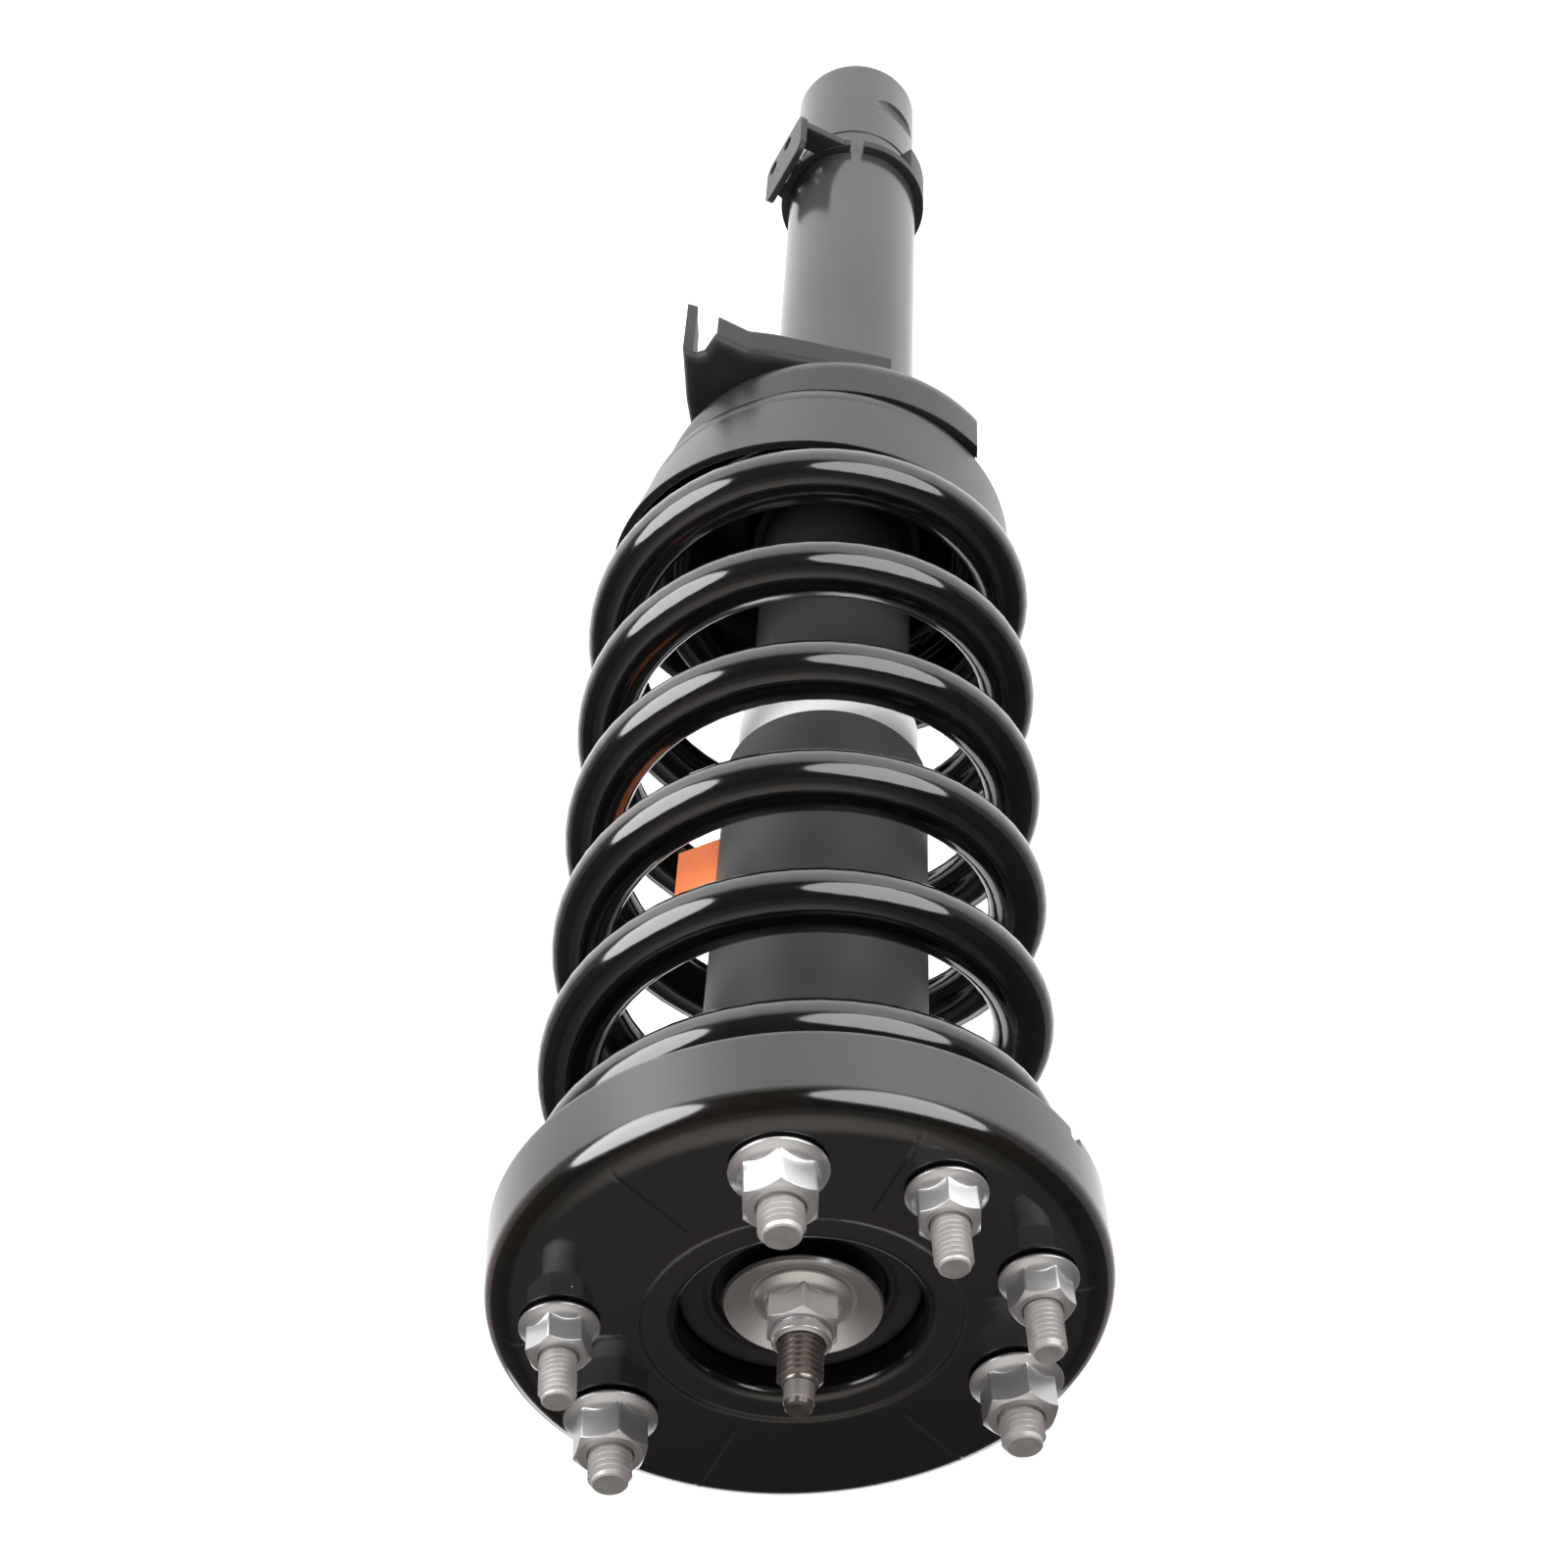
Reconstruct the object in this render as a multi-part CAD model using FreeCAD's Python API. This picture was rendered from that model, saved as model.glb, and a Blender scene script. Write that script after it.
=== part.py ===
import FreeCAD
import Part
import math
import os

from FreeCAD import Vector

# Complete coil-over strut of a light truck, full extension, millimetres.
# +Z is the damper's axis, towards the upper mount. The origin is the centre
# of the upper mount's bolting face. The mount plate leans a little on the
# axis, and the coil spring stands slightly off it, as on the real strut.

os.makedirs("parts", exist_ok=True)

# Clearances
FIT = 0.05            # between pieces pressed or slid over one another
GAP = 0.3             # between soft or moving pieces and what they meet
RUN = 0.04            # radial clearance of the rod in its guide

# Upper mount plate
MOUNT_LEAN_X = 4.6    # lean of the plate's normal towards -X, degrees
MOUNT_LEAN_Y = 1.7    # and towards -Y
PLATE_R = 81.5
PLATE_T = 3.0
PLATE_SHOULDER_R = 8.5
SKIRT_DEPTH = 26.0
RING_R = 42.0         # step pressed round the mouth
RING_STEP = 0.8
MOUTH_R = 32.0
LIP_R = 2.8
NECK_DEPTH = 29.0
SKIRT_NOTCH_W = 5.0
SKIRT_NOTCH_H = 3.0
SKIRT_NOTCH_AT = 209.0

# Studs and their nuts, on one circle
STUD_CIRCLE_R = 62.0
LARGE_STUD_R = 5.9
SMALL_STUD_R = 4.9
LARGE_STUD_TIP = 21.5
SMALL_STUD_TIP = 24.0
STUD_CHAMFER = 1.0
STUD_HEAD_T = 2.2
STUD_HEAD_EDGE = 3.2  # head radius beyond the shank
STUD_RELIEF = 0.25    # the shank under the nut is this much thinner
LARGE_AT = (-85.5, 34.5, 154.5)
SMALL_AT = (-125.5, -165.5, -4.5)
BOSS_H = 0.8
BOSS_EDGE = 3.6       # boss radius beyond the shank
LARGE_NUT_AF = 18.0
LARGE_NUT_H = 12.0
LARGE_FLANGE_R = 12.5
SMALL_NUT_AF = 15.0
SMALL_NUT_H = 10.0
SMALL_FLANGE_R = 10.4
NUT_FLANGE_T = 1.6

# Rubber bush, its retainer and the washers that clamp it
SLEEVE_R = 10.0
SLEEVE_T = 3.8
BUSH_TOP = -9.0
RETAINER_T = 2.5
RETAINER_LIP = 8.0
RETAINER_HOLE_R = 24.0
CUP_WASHER_R = 21.0
CUP_WASHER_T = 2.0
CUP_WASHER_SEAT = -8.0
CUP_WASHER_RISE = 3.1
LOWER_WASHER_T = 3.0

# Piston rod and its nut
ROD_R = 9.0
STUB_R = 6.0
STUB_TOP = 18.8
TIP_R = 4.0
TIP_TOP = 25.7
ROD_SHOULDER = -42.0
ROD_NUT_AF = 18.0
ROD_NUT_H = 10.6
ROD_NUT_FLANGE_R = 12.9
ROD_COLLAR_R = 7.8
ROD_COLLAR_H = 4.0

# Bump stop and dust cover
BUMP_R = 21.0
BUMP_WAIST_R = 17.5
BUMP_TIP_R = 14.0
BUMP_LENGTH = 45.0
COVER_TOP_R = 32.6
COVER_RIM_R = 31.4
COVER_WALL = 1.5
COVER_BOTTOM = -200.5
COVER_RIB_H = 0.8

# Plain tag standing off the dust cover
TAG_LENGTH = 15.0
TAG_HEIGHT = 19.0
TAG_T = 0.6
TAG_TOP = -157.0
TAG_TURN = 28.0       # direction of the tag, degrees from +X

# Coil spring
WIRE_R = 8.7
COIL_R = 63.7
COIL_LOW_R = 51.0     # radius of the last turn, drawn in to its seat
SPRING_TOP_AT = (3.1, 2.1)    # the spring's axis where it leaves the mount
SPRING_LEAN = (-0.0167, 0.0150)    # drift of that axis for each mm of height
PITCH = 45.6
FRONT_PASS = -44.2    # height of the first pass in front, at -Y
TOP_COIL = -22.5      # height of the upper end turn
FULL_TURNS = 5.0      # passes at full pitch below the first
LOW_RUN = 0.54        # further turns at full pitch
LOW_CLOSING = 0.85    # turns over which the pitch closes
LOW_FLAT = 0.15
LOW_DRAW_FROM = 0.2   # turns past the full ones where the radius draws in
LOW_DRAW = 0.5        # turns over which it draws in
TOP_FLAT = 0.12

# Spring pads
PAD_WIDTH = 22.0
LOWER_PAD_T = 3.0
LOWER_PAD_WIDTH = 13.0

# Spring seat, a deep dish on a support cup
SEAT_SHIFT = 5.0      # offset of the dish's floor along +X
SEAT_SIDE_ROOM = 0.8  # between the last turn and the wall
SEAT_T = 3.0
SEAT_CORNER_R = 14.0
SEAT_FLARE = 5.5      # growth of the wall's radius up to the full rim
SEAT_FLARE_SHIFT = 3.5
SEAT_WALL_H = 32.0    # wall above the corner, before the rim is cut
SEAT_RIM_Z = -294.6   # height of the slanted rim over the axis
SEAT_RIM_SLOPE = 0.115    # fall of the rim towards +Y
SEAT_NOTCH_Z = -304.0
SEAT_NOTCH = (-15.0, 28.0)    # sides of the notch in the wall, degrees
SEAT_COLLAR_H = 10.0
SEAT_COLLAR_R = 28.6
SEAT_COLLAR_BEND = 4.0
CUP_R = 61.8
CUP_SHIFT = 0.7
CUP_DEPTH = 17.6
CUP_CORNER_R = 12.0
CUP_SIDE_X = -47.0    # flat side cut on the cup

# Hose bracket under the support cup: plan of its pressed plate
BRACKET_FRONT = ((-47.0, -22.0), (-30.0, -40.0), (-17.6, -49.5), (1.4, -53.7), (22.5, -58.3), (31.0, -59.3))
BRACKET_HORN = ((36.0, -62.0), (41.5, -65.0), (45.5, -58.4), (48.3, -57.3))
BRACKET_REAR = ((53.0, -58.8), (52.6, -38.0), (51.5, -28.0), (51.0, -4.0), (42.0, 16.0), (24.0, 31.0),
                (0.0, 38.0), (-24.0, 31.0), (-40.0, 14.0), (-47.0, -10.0))
BRACKET_T = 3.0
BRACKET_FLANGE = 10.2
BRACKET_FLANGE_END = -17.6    # the turned-down edge starts here, along X
BRACKET_HORN_END = 41.2       # and ends here, beside the cradle
BRACKET_EAR_X = 49.6          # inner side of the long ear
BRACKET_EAR = 27.0
BRACKET_EAR_FOOT = -39.5      # the ear's rear end, along Y
BRACKET_EAR_TIP_W = 13.0
BRACKET_BEND_R = 3.4

# Damper tube
TUBE_R = 25.2
TUBE_WALL = 1.8
TUBE_TOP = -189.0
STUB_TUBE_R = 24.0    # lower end, clamped in the fork
STEP_Z = -538.0
STEP_H = 3.0
RELIEF_Z = -557.0     # above this the stub is a little thinner, clear of the clamp
STUB_RELIEF = 0.4
TUBE_END_R = 1.5
TUBE_BOTTOM = -611.0
PINCH_R = 7.0
PINCH_DEPTH = 2.6
PINCH_Z = -582.5
PINCH_AT = 221.0

# Cap on the tube's upper end
CAP_R = 28.3
CAP_T = 1.5
CAP_DEPTH = 37.0

# Locating collar with its tab and stop
COLLAR_R = 28.6
COLLAR_T = 4.0
COLLAR_BOTTOM = -542.0
COLLAR_SLOT = 5.0
COLLAR_SLOT_AT = -94.0
STOP_DROP = 14.0      # the stop reaches this far below the collar
STOP_FROM = 155.0
STOP_TO = 215.0
TAB_STAND = 35.0      # distance of the tab's outer face from the axis
TAB_T = 2.5
TAB_AT = -27.5        # direction that the tab faces
TAB_FROM = -24.0      # tangential start of the tab
TAB_WIDTH = 31.0
TAB_RISE = 25.5
TAB_DROP = 6.0        # the tab starts this far below the collar
TAB_CORNER_R = 5.0
TAB_HOLE_R = 3.0
TAB_HOLE_GAP = 12.5
TAB_HOLE_MID = -5.0   # tangential middle of the pair of holes
TAB_HOLE_RISE = 5.5
TAB_HOLE_ROOM = 0.6   # the foot is notched behind each hole by this much more
TAB_FOOT_SPREAD = 6.0 # the foot widens towards the ring

# Inside the damper
INNER_R = 17.5
INNER_WALL = 1.5
GUIDE_H = 20.0
SEAL_H = 6.0
PISTON_H = 18.0
PISTON_RING_H = 8.0
REBOUND_R = 14.0
REBOUND_H = 8.0
PISTON_NUT_AF = 17.0
PISTON_NUT_H = 8.0
BASE_H = 14.0
END_CAP_T = 4.0

# Sizes that follow
CLEAR = 200.0         # reach of the cutting blocks, past every piece
PLATE_IN_R = PLATE_R - PLATE_T
NECK_R = MOUTH_R + PLATE_T
SLEEVE_TOP = CUP_WASHER_SEAT - CUP_WASHER_T
SLEEVE_BOTTOM = ROD_SHOULDER + LOWER_WASHER_T
LOWER_WASHER_R = RETAINER_HOLE_R + 4.0
BUMP_TOP = ROD_SHOULDER - CUP_WASHER_T
COVER_TOP = BUMP_TOP
WIRE_D = 2.0 * WIRE_R
SEAT_R = COIL_LOW_R + WIRE_R + SEAT_SIDE_ROOM + SEAT_T


def rotate_z(shape, angle):
    shape.rotate(Vector(0, 0, 0), Vector(0, 0, 1), angle)
    return shape


def lean(shape):
    # Turns a piece drawn square to the plate into the strut's frame.
    shape.rotate(Vector(0, 0, 0), Vector(1, 0, 0), MOUNT_LEAN_Y)
    shape.rotate(Vector(0, 0, 0), Vector(0, 1, 0), -MOUNT_LEAN_X)
    return shape


def tube(r_out, r_in, z_low, height):
    body = Part.makeCylinder(r_out, height, Vector(0, 0, z_low))
    if r_in <= 0:
        return body
    bore = Part.makeCylinder(r_in, height + 2.0, Vector(0, 0, z_low - 1.0))
    return body.cut(bore)


def turned(points):
    # Revolves a closed outline of (radius, height) points about Z. A point
    # of four numbers is an arc through its first pair to its second.
    edges = []
    here = points[0]
    for item in points[1:] + [points[0]]:
        start = Vector(here[0], 0, here[1])
        if len(item) == 4:
            middle = Vector(item[0], 0, item[1])
            end = Vector(item[2], 0, item[3])
            edges.append(Part.Arc(start, middle, end).toShape())
            here = (item[2], item[3])
        else:
            end = Vector(item[0], 0, item[1])
            if (end - start).Length > 1e-6:
                edges.append(Part.LineSegment(start, end).toShape())
            here = (item[0], item[1])
    face = Part.Face(Part.Wire(edges))
    return face.revolve(Vector(0, 0, 0), Vector(0, 0, 1), 360)


def arc_to(centre, radius, a_start, a_end):
    # The middle and end of an arc about a centre in the (radius, height) plane.
    a_mid = math.radians(0.5 * (a_start + a_end))
    a_end = math.radians(a_end)
    mid = (centre[0] + radius * math.cos(a_mid), centre[1] + radius * math.sin(a_mid))
    end = (centre[0] + radius * math.cos(a_end), centre[1] + radius * math.sin(a_end))
    return mid + end


def hexagon(across_flats, z_low, height):
    corner = across_flats / math.sqrt(3.0)
    ring = []
    for i in range(7):
        a = math.radians(60.0 * i)
        ring.append(Vector(corner * math.cos(a), corner * math.sin(a), z_low))
    return Part.Face(Part.makePolygon(ring)).extrude(Vector(0, 0, height))


def flange_nut(across_flats, height, flange_r, bore_r, z_low):
    # A hexagon with chamfered corners on a coned flange.
    corner = across_flats / math.sqrt(3.0)
    inner = 0.5 * across_flats
    top = z_low + height
    rim = z_low + 0.6 * NUT_FLANGE_T
    hexa = hexagon(across_flats, z_low, height)
    cone = turned([
        (0, z_low), (corner + 1.0, z_low), (corner + 1.0, top - 1.4), (inner - 0.4, top), (0, top)])
    flange = turned([
        (0, z_low), (flange_r, z_low), (flange_r, rim), (inner, rim + 0.45 * (flange_r - inner)),
        (0, z_low + 3.0)])
    nut = hexa.common(cone).fuse(flange)
    bore = Part.makeCylinder(bore_r + FIT, height + 2.0, Vector(0, 0, z_low - 1.0))
    return nut.cut(bore).removeSplitter()


def on_circle(make, angles):
    # Copies of one piece round the stud circle, in the strut's frame.
    out = []
    for angle in angles:
        a = math.radians(angle)
        piece = make()
        piece.translate(Vector(STUD_CIRCLE_R * math.cos(a), STUD_CIRCLE_R * math.sin(a), 0))
        out.append(lean(piece))
    return Part.makeCompound(out)


def stud(radius, tip, nut_h):
    # Headed stud. Its shank is relieved up to just above the nut.
    head_r = radius + STUD_HEAD_EDGE
    low = -PLATE_T - STUD_HEAD_T
    shank = radius - STUD_RELIEF
    bare = BOSS_H + nut_h + 0.2
    return turned([
        (0, low), (head_r, low), (head_r, -PLATE_T), (shank, -PLATE_T), (shank, bare), (radius, bare),
        (radius, tip - STUD_CHAMFER), (radius - STUD_CHAMFER, tip), (0, tip)])


def large_studs():
    return on_circle(lambda: stud(LARGE_STUD_R, LARGE_STUD_TIP, LARGE_NUT_H), LARGE_AT)


def small_studs():
    return on_circle(lambda: stud(SMALL_STUD_R, SMALL_STUD_TIP, SMALL_NUT_H), SMALL_AT)


def large_nuts():
    def nut():
        return flange_nut(LARGE_NUT_AF, LARGE_NUT_H, LARGE_FLANGE_R, LARGE_STUD_R, BOSS_H)
    return on_circle(nut, LARGE_AT)


def small_nuts():
    def nut():
        return flange_nut(SMALL_NUT_AF, SMALL_NUT_H, SMALL_FLANGE_R, SMALL_STUD_R, BOSS_H)
    return on_circle(nut, SMALL_AT)


def mount_plate():
    # Pressed cup with a drawn neck for the bush, raised bosses and stud holes.
    r, t, s = PLATE_R, PLATE_T, PLATE_SHOULDER_R
    lip_z = -RING_STEP - LIP_R
    outline = [
        (MOUTH_R, lip_z),
        arc_to((MOUTH_R + LIP_R, lip_z), LIP_R, 180, 90),
        (RING_R - RING_STEP, -RING_STEP),
        (RING_R, 0),
        (r - s, 0),
        arc_to((r - s, -s), s, 90, 0),
        (r, -SKIRT_DEPTH),
        (r - t, -SKIRT_DEPTH),
        (r - t, -s),
        arc_to((r - s, -s), s - t, 0, 90),
        (RING_R + 1.0, -t),
        (RING_R, -t - RING_STEP),
        (NECK_R + 1.0, -t - RING_STEP),
        (NECK_R, -t - RING_STEP - 1.0),
        (NECK_R, -NECK_DEPTH),
        (MOUTH_R, -NECK_DEPTH),
    ]
    plate = turned(outline)
    for angles, radius in ((LARGE_AT, LARGE_STUD_R), (SMALL_AT, SMALL_STUD_R)):
        for angle in angles:
            a = math.radians(angle)
            at = Vector(STUD_CIRCLE_R * math.cos(a), STUD_CIRCLE_R * math.sin(a), 0)
            boss = Part.makeCone(radius + BOSS_EDGE + 0.6, radius + BOSS_EDGE, BOSS_H, at)
            plate = plate.fuse(boss)
            hole = Part.makeCylinder(radius + FIT, 4.0 * t, at - Vector(0, 0, 2.0 * t))
            coin = Part.makeCylinder(radius + STUD_HEAD_EDGE + FIT, 2.0 * t, at - Vector(0, 0, 3.0 * t))
            plate = plate.cut(hole).cut(coin)
    notch = Part.makeBox(4.0 * t, SKIRT_NOTCH_W, 2.0 * SKIRT_NOTCH_H)
    notch.translate(Vector(r - 2.0 * t, -0.5 * SKIRT_NOTCH_W, -SKIRT_DEPTH - SKIRT_NOTCH_H))
    plate = plate.cut(rotate_z(notch, SKIRT_NOTCH_AT))
    return lean(plate)


def bush_retainer():
    # Flanged ring pressed over the neck's lower end, under the rubber.
    low = -NECK_DEPTH - RETAINER_T
    lip = -NECK_DEPTH + RETAINER_LIP
    in_r = NECK_R + FIT
    out_r = in_r + RETAINER_T
    return lean(turned([
        (RETAINER_HOLE_R, low), (out_r - 1.5, low), (out_r, low + 1.5), (out_r, lip), (in_r, lip),
        (in_r, -NECK_DEPTH), (RETAINER_HOLE_R, -NECK_DEPTH)]))


def bush_rubber():
    # Bonded rubber between the neck and the rod's sleeve, with a waist above.
    out_r, low = MOUTH_R - FIT, -NECK_DEPTH + FIT
    ring = lean(turned([
        (SLEEVE_R - 1.0, BUSH_TOP - 3.0), (CUP_WASHER_R - 3.0, BUSH_TOP - 3.0),
        (CUP_WASHER_R + 1.5, BUSH_TOP + 1.5), (out_r, BUSH_TOP), (out_r, low), (SLEEVE_R - 1.0, low)]))
    hole, over = SLEEVE_R + FIT, CUP_WASHER_R + 2.0
    room = turned([
        (0, 5.0), (0, -60.0), (hole, -60.0), (hole, SLEEVE_TOP - 3.0),
        (CUP_WASHER_R - 6.0, SLEEVE_TOP - GAP), (over, SLEEVE_TOP + 4.0), (over, 5.0)])
    return ring.cut(room)


def bush_sleeve():
    return tube(SLEEVE_R, SLEEVE_R - SLEEVE_T, SLEEVE_BOTTOM, SLEEVE_TOP - SLEEVE_BOTTOM)


def upper_cup_washer():
    # Dished washer whose rim rises round the rod nut.
    z, t, r = CUP_WASHER_SEAT, CUP_WASHER_T, CUP_WASHER_R
    rise = CUP_WASHER_RISE
    flat = ROD_NUT_FLANGE_R + 1.0
    return turned([
        (STUB_R + FIT, z - t), (flat + 0.5, z - t), (r - 0.6, z - t + rise), (r, z - t + rise + 0.8),
        (r - 0.6, z + rise), (flat, z), (STUB_R + FIT, z)])


def lower_washer():
    z, t = ROD_SHOULDER, LOWER_WASHER_T
    return turned([(STUB_R + FIT, z), (LOWER_WASHER_R - 1.0, z), (LOWER_WASHER_R, z + 1.0),
                   (LOWER_WASHER_R - 1.0, z + t), (STUB_R + FIT, z + t)])


def rod_nut():
    nut = flange_nut(ROD_NUT_AF, ROD_NUT_H, ROD_NUT_FLANGE_R, STUB_R, CUP_WASHER_SEAT)
    low = CUP_WASHER_SEAT + ROD_NUT_H - 0.5
    top = CUP_WASHER_SEAT + ROD_NUT_H + ROD_COLLAR_H
    collar = turned([
        (STUB_R + FIT, low), (ROD_COLLAR_R, low), (ROD_COLLAR_R, top - 0.8), (ROD_COLLAR_R - 0.8, top),
        (STUB_R + FIT, top)])
    return nut.fuse(collar).removeSplitter()


def upper_pad():
    # Rubber wedge between the leaning plate and the square end of the spring.
    top_wire = TOP_COIL + WIRE_R
    low = top_wire + GAP
    ring = tube(COIL_R + 0.5 * PAD_WIDTH, COIL_R - 0.5 * PAD_WIDTH, low, 30.0)
    ring.translate(spring_axis(TOP_COIL))
    reach = PLATE_IN_R - GAP
    shoulder = PLATE_SHOULDER_R - PLATE_T
    under = turned([(0, -60), (reach, -60), (reach, -PLATE_SHOULDER_R),
                    arc_to((reach - shoulder, -PLATE_SHOULDER_R), shoulder, 0, 90), (0, -PLATE_T)])
    pad = ring.common(lean(under))
    for angles, radius in ((LARGE_AT, LARGE_STUD_R), (SMALL_AT, SMALL_STUD_R)):
        def pocket():
            depth = STUD_HEAD_T + GAP
            at = Vector(0, 0, -PLATE_T - depth)
            return Part.makeCylinder(radius + STUD_HEAD_EDGE + GAP, depth + 5.0, at)
        pad = pad.cut(on_circle(pocket, angles))
    return pad


def piston_rod():
    low = piston_low() - PISTON_NUT_H - 2.0
    return turned([
        (0, low), (STUB_R, low), (STUB_R, piston_top()), (ROD_R, piston_top()), (ROD_R, ROD_SHOULDER),
        (STUB_R, ROD_SHOULDER), (STUB_R, STUB_TOP - 0.8), (STUB_R - 0.8, STUB_TOP), (TIP_R, STUB_TOP),
        (TIP_R, TIP_TOP - 0.5), (TIP_R - 0.5, TIP_TOP), (0, TIP_TOP)])


def bump_stop():
    # Microcellular bumper with two waists, tapering to its lip.
    z, n = BUMP_TOP, BUMP_LENGTH
    r, w, e = BUMP_R, BUMP_WAIST_R, BUMP_TIP_R
    bore = ROD_R + GAP
    return turned([
        (bore, z), (r, z), (r, z - 0.24 * n), (w, z - 0.31 * n), (r - 1.0, z - 0.38 * n),
        (r - 1.5, z - 0.56 * n), (w - 1.5, z - 0.63 * n), (r - 3.5, z - 0.70 * n), (e + 1.0, z - 0.94 * n),
        (e, z - n), (bore + 2.0, z - n), (bore, z - n + 2.0)])


def cover_radius(z):
    share = (COVER_TOP - z) / (COVER_TOP - COVER_BOTTOM)
    return COVER_TOP_R + (COVER_RIM_R - COVER_TOP_R) * share


def dust_cover():
    # Slightly tapered sleeve under a flat top, clamped below the washer.
    w, z = COVER_WALL, COVER_TOP
    top = z + CUP_WASHER_T
    rib_z = top - 12.0
    rib_r = cover_radius(rib_z)
    return turned([
        (ROD_R + GAP, top), (COVER_TOP_R - 3.0, top), (COVER_TOP_R, top - 3.0),
        (rib_r, rib_z + 2.0), (rib_r + COVER_RIB_H, rib_z), (rib_r, rib_z - 2.0),
        (COVER_RIM_R, COVER_BOTTOM), (COVER_RIM_R - w, COVER_BOTTOM), (COVER_TOP_R - w, top - 4.0),
        (COVER_TOP_R - w - 2.0, z), (ROD_R + GAP, z)])


def tag():
    # Blank flat tag: stuck by its foot to the cover, free at its other end.
    z_mid = TAG_TOP - 0.5 * TAG_HEIGHT
    foot = cover_radius(z_mid) + GAP
    box = Part.makeBox(TAG_LENGTH, TAG_T, TAG_HEIGHT)
    box.translate(Vector(0, -0.5 * TAG_T, TAG_TOP - TAG_HEIGHT))
    box = rotate_z(box, TAG_TURN)
    box.translate(Vector(foot - 0.8, 0, 0))
    low, high = TAG_TOP - TAG_HEIGHT - 5.0, TAG_TOP + 5.0
    trim = Part.makeCone(cover_radius(low) + FIT, cover_radius(high) + FIT, high - low, Vector(0, 0, low))
    return box.cut(trim)


def spring_law(turn):
    # Height and radius of the wire's centre, turn counted down from the
    # first pass in front. Negative turns climb to the closed upper end.
    closing_top = 2.0 * (TOP_COIL - FRONT_PASS) / PITCH
    if turn < 0:
        u = min(-turn, closing_top)
        z = FRONT_PASS + PITCH * u - 0.5 * PITCH * u * u / closing_top
    else:
        straight = FULL_TURNS + LOW_RUN
        z = FRONT_PASS - PITCH * min(turn, straight)
        if turn > straight:
            v = min(turn - straight, LOW_CLOSING)
            z -= PITCH * v - 0.5 * PITCH * v * v / LOW_CLOSING
    radius = COIL_R
    if turn > FULL_TURNS:
        radius += (COIL_LOW_R - COIL_R) * drawn_in(turn)
    return z, radius


def drawn_in(turn):
    # How far the last turns have left the full radius for their seat.
    share = (turn - FULL_TURNS - LOW_DRAW_FROM) / LOW_DRAW
    share = min(max(share, 0.0), 1.0)
    return share * share * (3.0 - 2.0 * share)


def spring_axis(z):
    return Vector(SPRING_TOP_AT[0] + SPRING_LEAN[0] * z, SPRING_TOP_AT[1] + SPRING_LEAN[1] * z, 0)


def spring_point(turn):
    z, radius = spring_law(turn)
    centre = spring_axis(z)
    centre += (Vector(SEAT_SHIFT, 0, 0) - centre) * drawn_in(turn)
    a = math.radians(-90.0 - 360.0 * turn)
    return centre + Vector(radius * math.cos(a), radius * math.sin(a), z)


def spring_tangent(turn):
    step = 1e-4
    along = spring_point(turn + step) - spring_point(turn - step)
    return along.normalize()


def arc_between(start, along, end):
    # The circular arc that leaves start along a direction and reaches end.
    chord = end - start
    half = 0.5 * chord.Length
    angle = along.getAngle(chord)
    side = (chord - along * chord.dot(along)).normalize()
    bow = along * math.sin(angle) - side * math.cos(angle)
    middle = start + chord * 0.5 + bow * (half * math.tan(0.5 * angle))
    return Part.Arc(start, middle, end).toShape()


def biarc(turn_a, turn_b):
    # Two tangent arcs that join two points of the coil along its tangents.
    p, q = spring_point(turn_a), spring_point(turn_b)
    s, t = spring_tangent(turn_a), spring_tangent(turn_b)
    v = q - p
    both = s + t
    a = 2.0 * (1.0 - s.dot(t))
    b = v.dot(both)
    reach = (-b + math.sqrt(b * b + a * v.dot(v))) / a
    joint = (p + s * reach + q - t * reach) * 0.5
    return [arc_between(p, s, joint), arc_between(joint, (joint - p - s * reach).normalize(), q)]


def spring_ends():
    top = -(2.0 * (TOP_COIL - FRONT_PASS) / PITCH + TOP_FLAT)
    low = FULL_TURNS + LOW_RUN + LOW_CLOSING + LOW_FLAT
    return top, low


def coil_spring():
    # One unbroken round wire along quarter-turn biarcs.
    top, low = spring_ends()
    count = int(math.ceil((low - top) / 0.25))
    turns = [top + (low - top) * i / count for i in range(count + 1)]
    edges = []
    for a, b in zip(turns[:-1], turns[1:]):
        edges += biarc(a, b)
    spine = Part.Wire(edges)
    start, along = spring_point(top), spring_tangent(top)
    ring = Part.Wire([Part.Circle(start, along, WIRE_R).toShape()])
    wire = spine.makePipeShell([ring], True, False)
    steps = int((low - top) * 72)
    points = [spring_point(top + (low - top) * i / steps) for i in range(steps + 1)]
    least = 1e9
    for i, p in enumerate(points):
        for q in points[i + 48:i + 96]:
            least = min(least, (p - q).Length)
    print("spring: least gap to itself %.2f mm, volume %.0f of %.0f mm3" % (
        least - WIRE_D, wire.Volume, math.pi * WIRE_R ** 2 * spine.Length))
    return wire


def seat_floor():
    # Upper face of the dish's floor, from the spring's lower end.
    return spring_law(spring_ends()[1])[0] - WIRE_R - GAP - LOWER_PAD_T


def shifted(shape, along_x):
    shape.translate(Vector(along_x, 0, 0))
    return shape


def lower_pad():
    low = seat_floor()
    curve = SEAT_CORNER_R - SEAT_T
    flat = SEAT_R - SEAT_CORNER_R
    r_in = COIL_LOW_R - 0.65 * LOWER_PAD_WIDTH
    ring = tube(r_in + LOWER_PAD_WIDTH, r_in, low, LOWER_PAD_T)
    keep = turned([
        (0, low), (flat, low), arc_to((flat, low + curve), curve - FIT, -90, 0), (flat, low + curve),
        (0, low + curve)])
    return shifted(ring.common(keep), SEAT_SHIFT)


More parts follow.
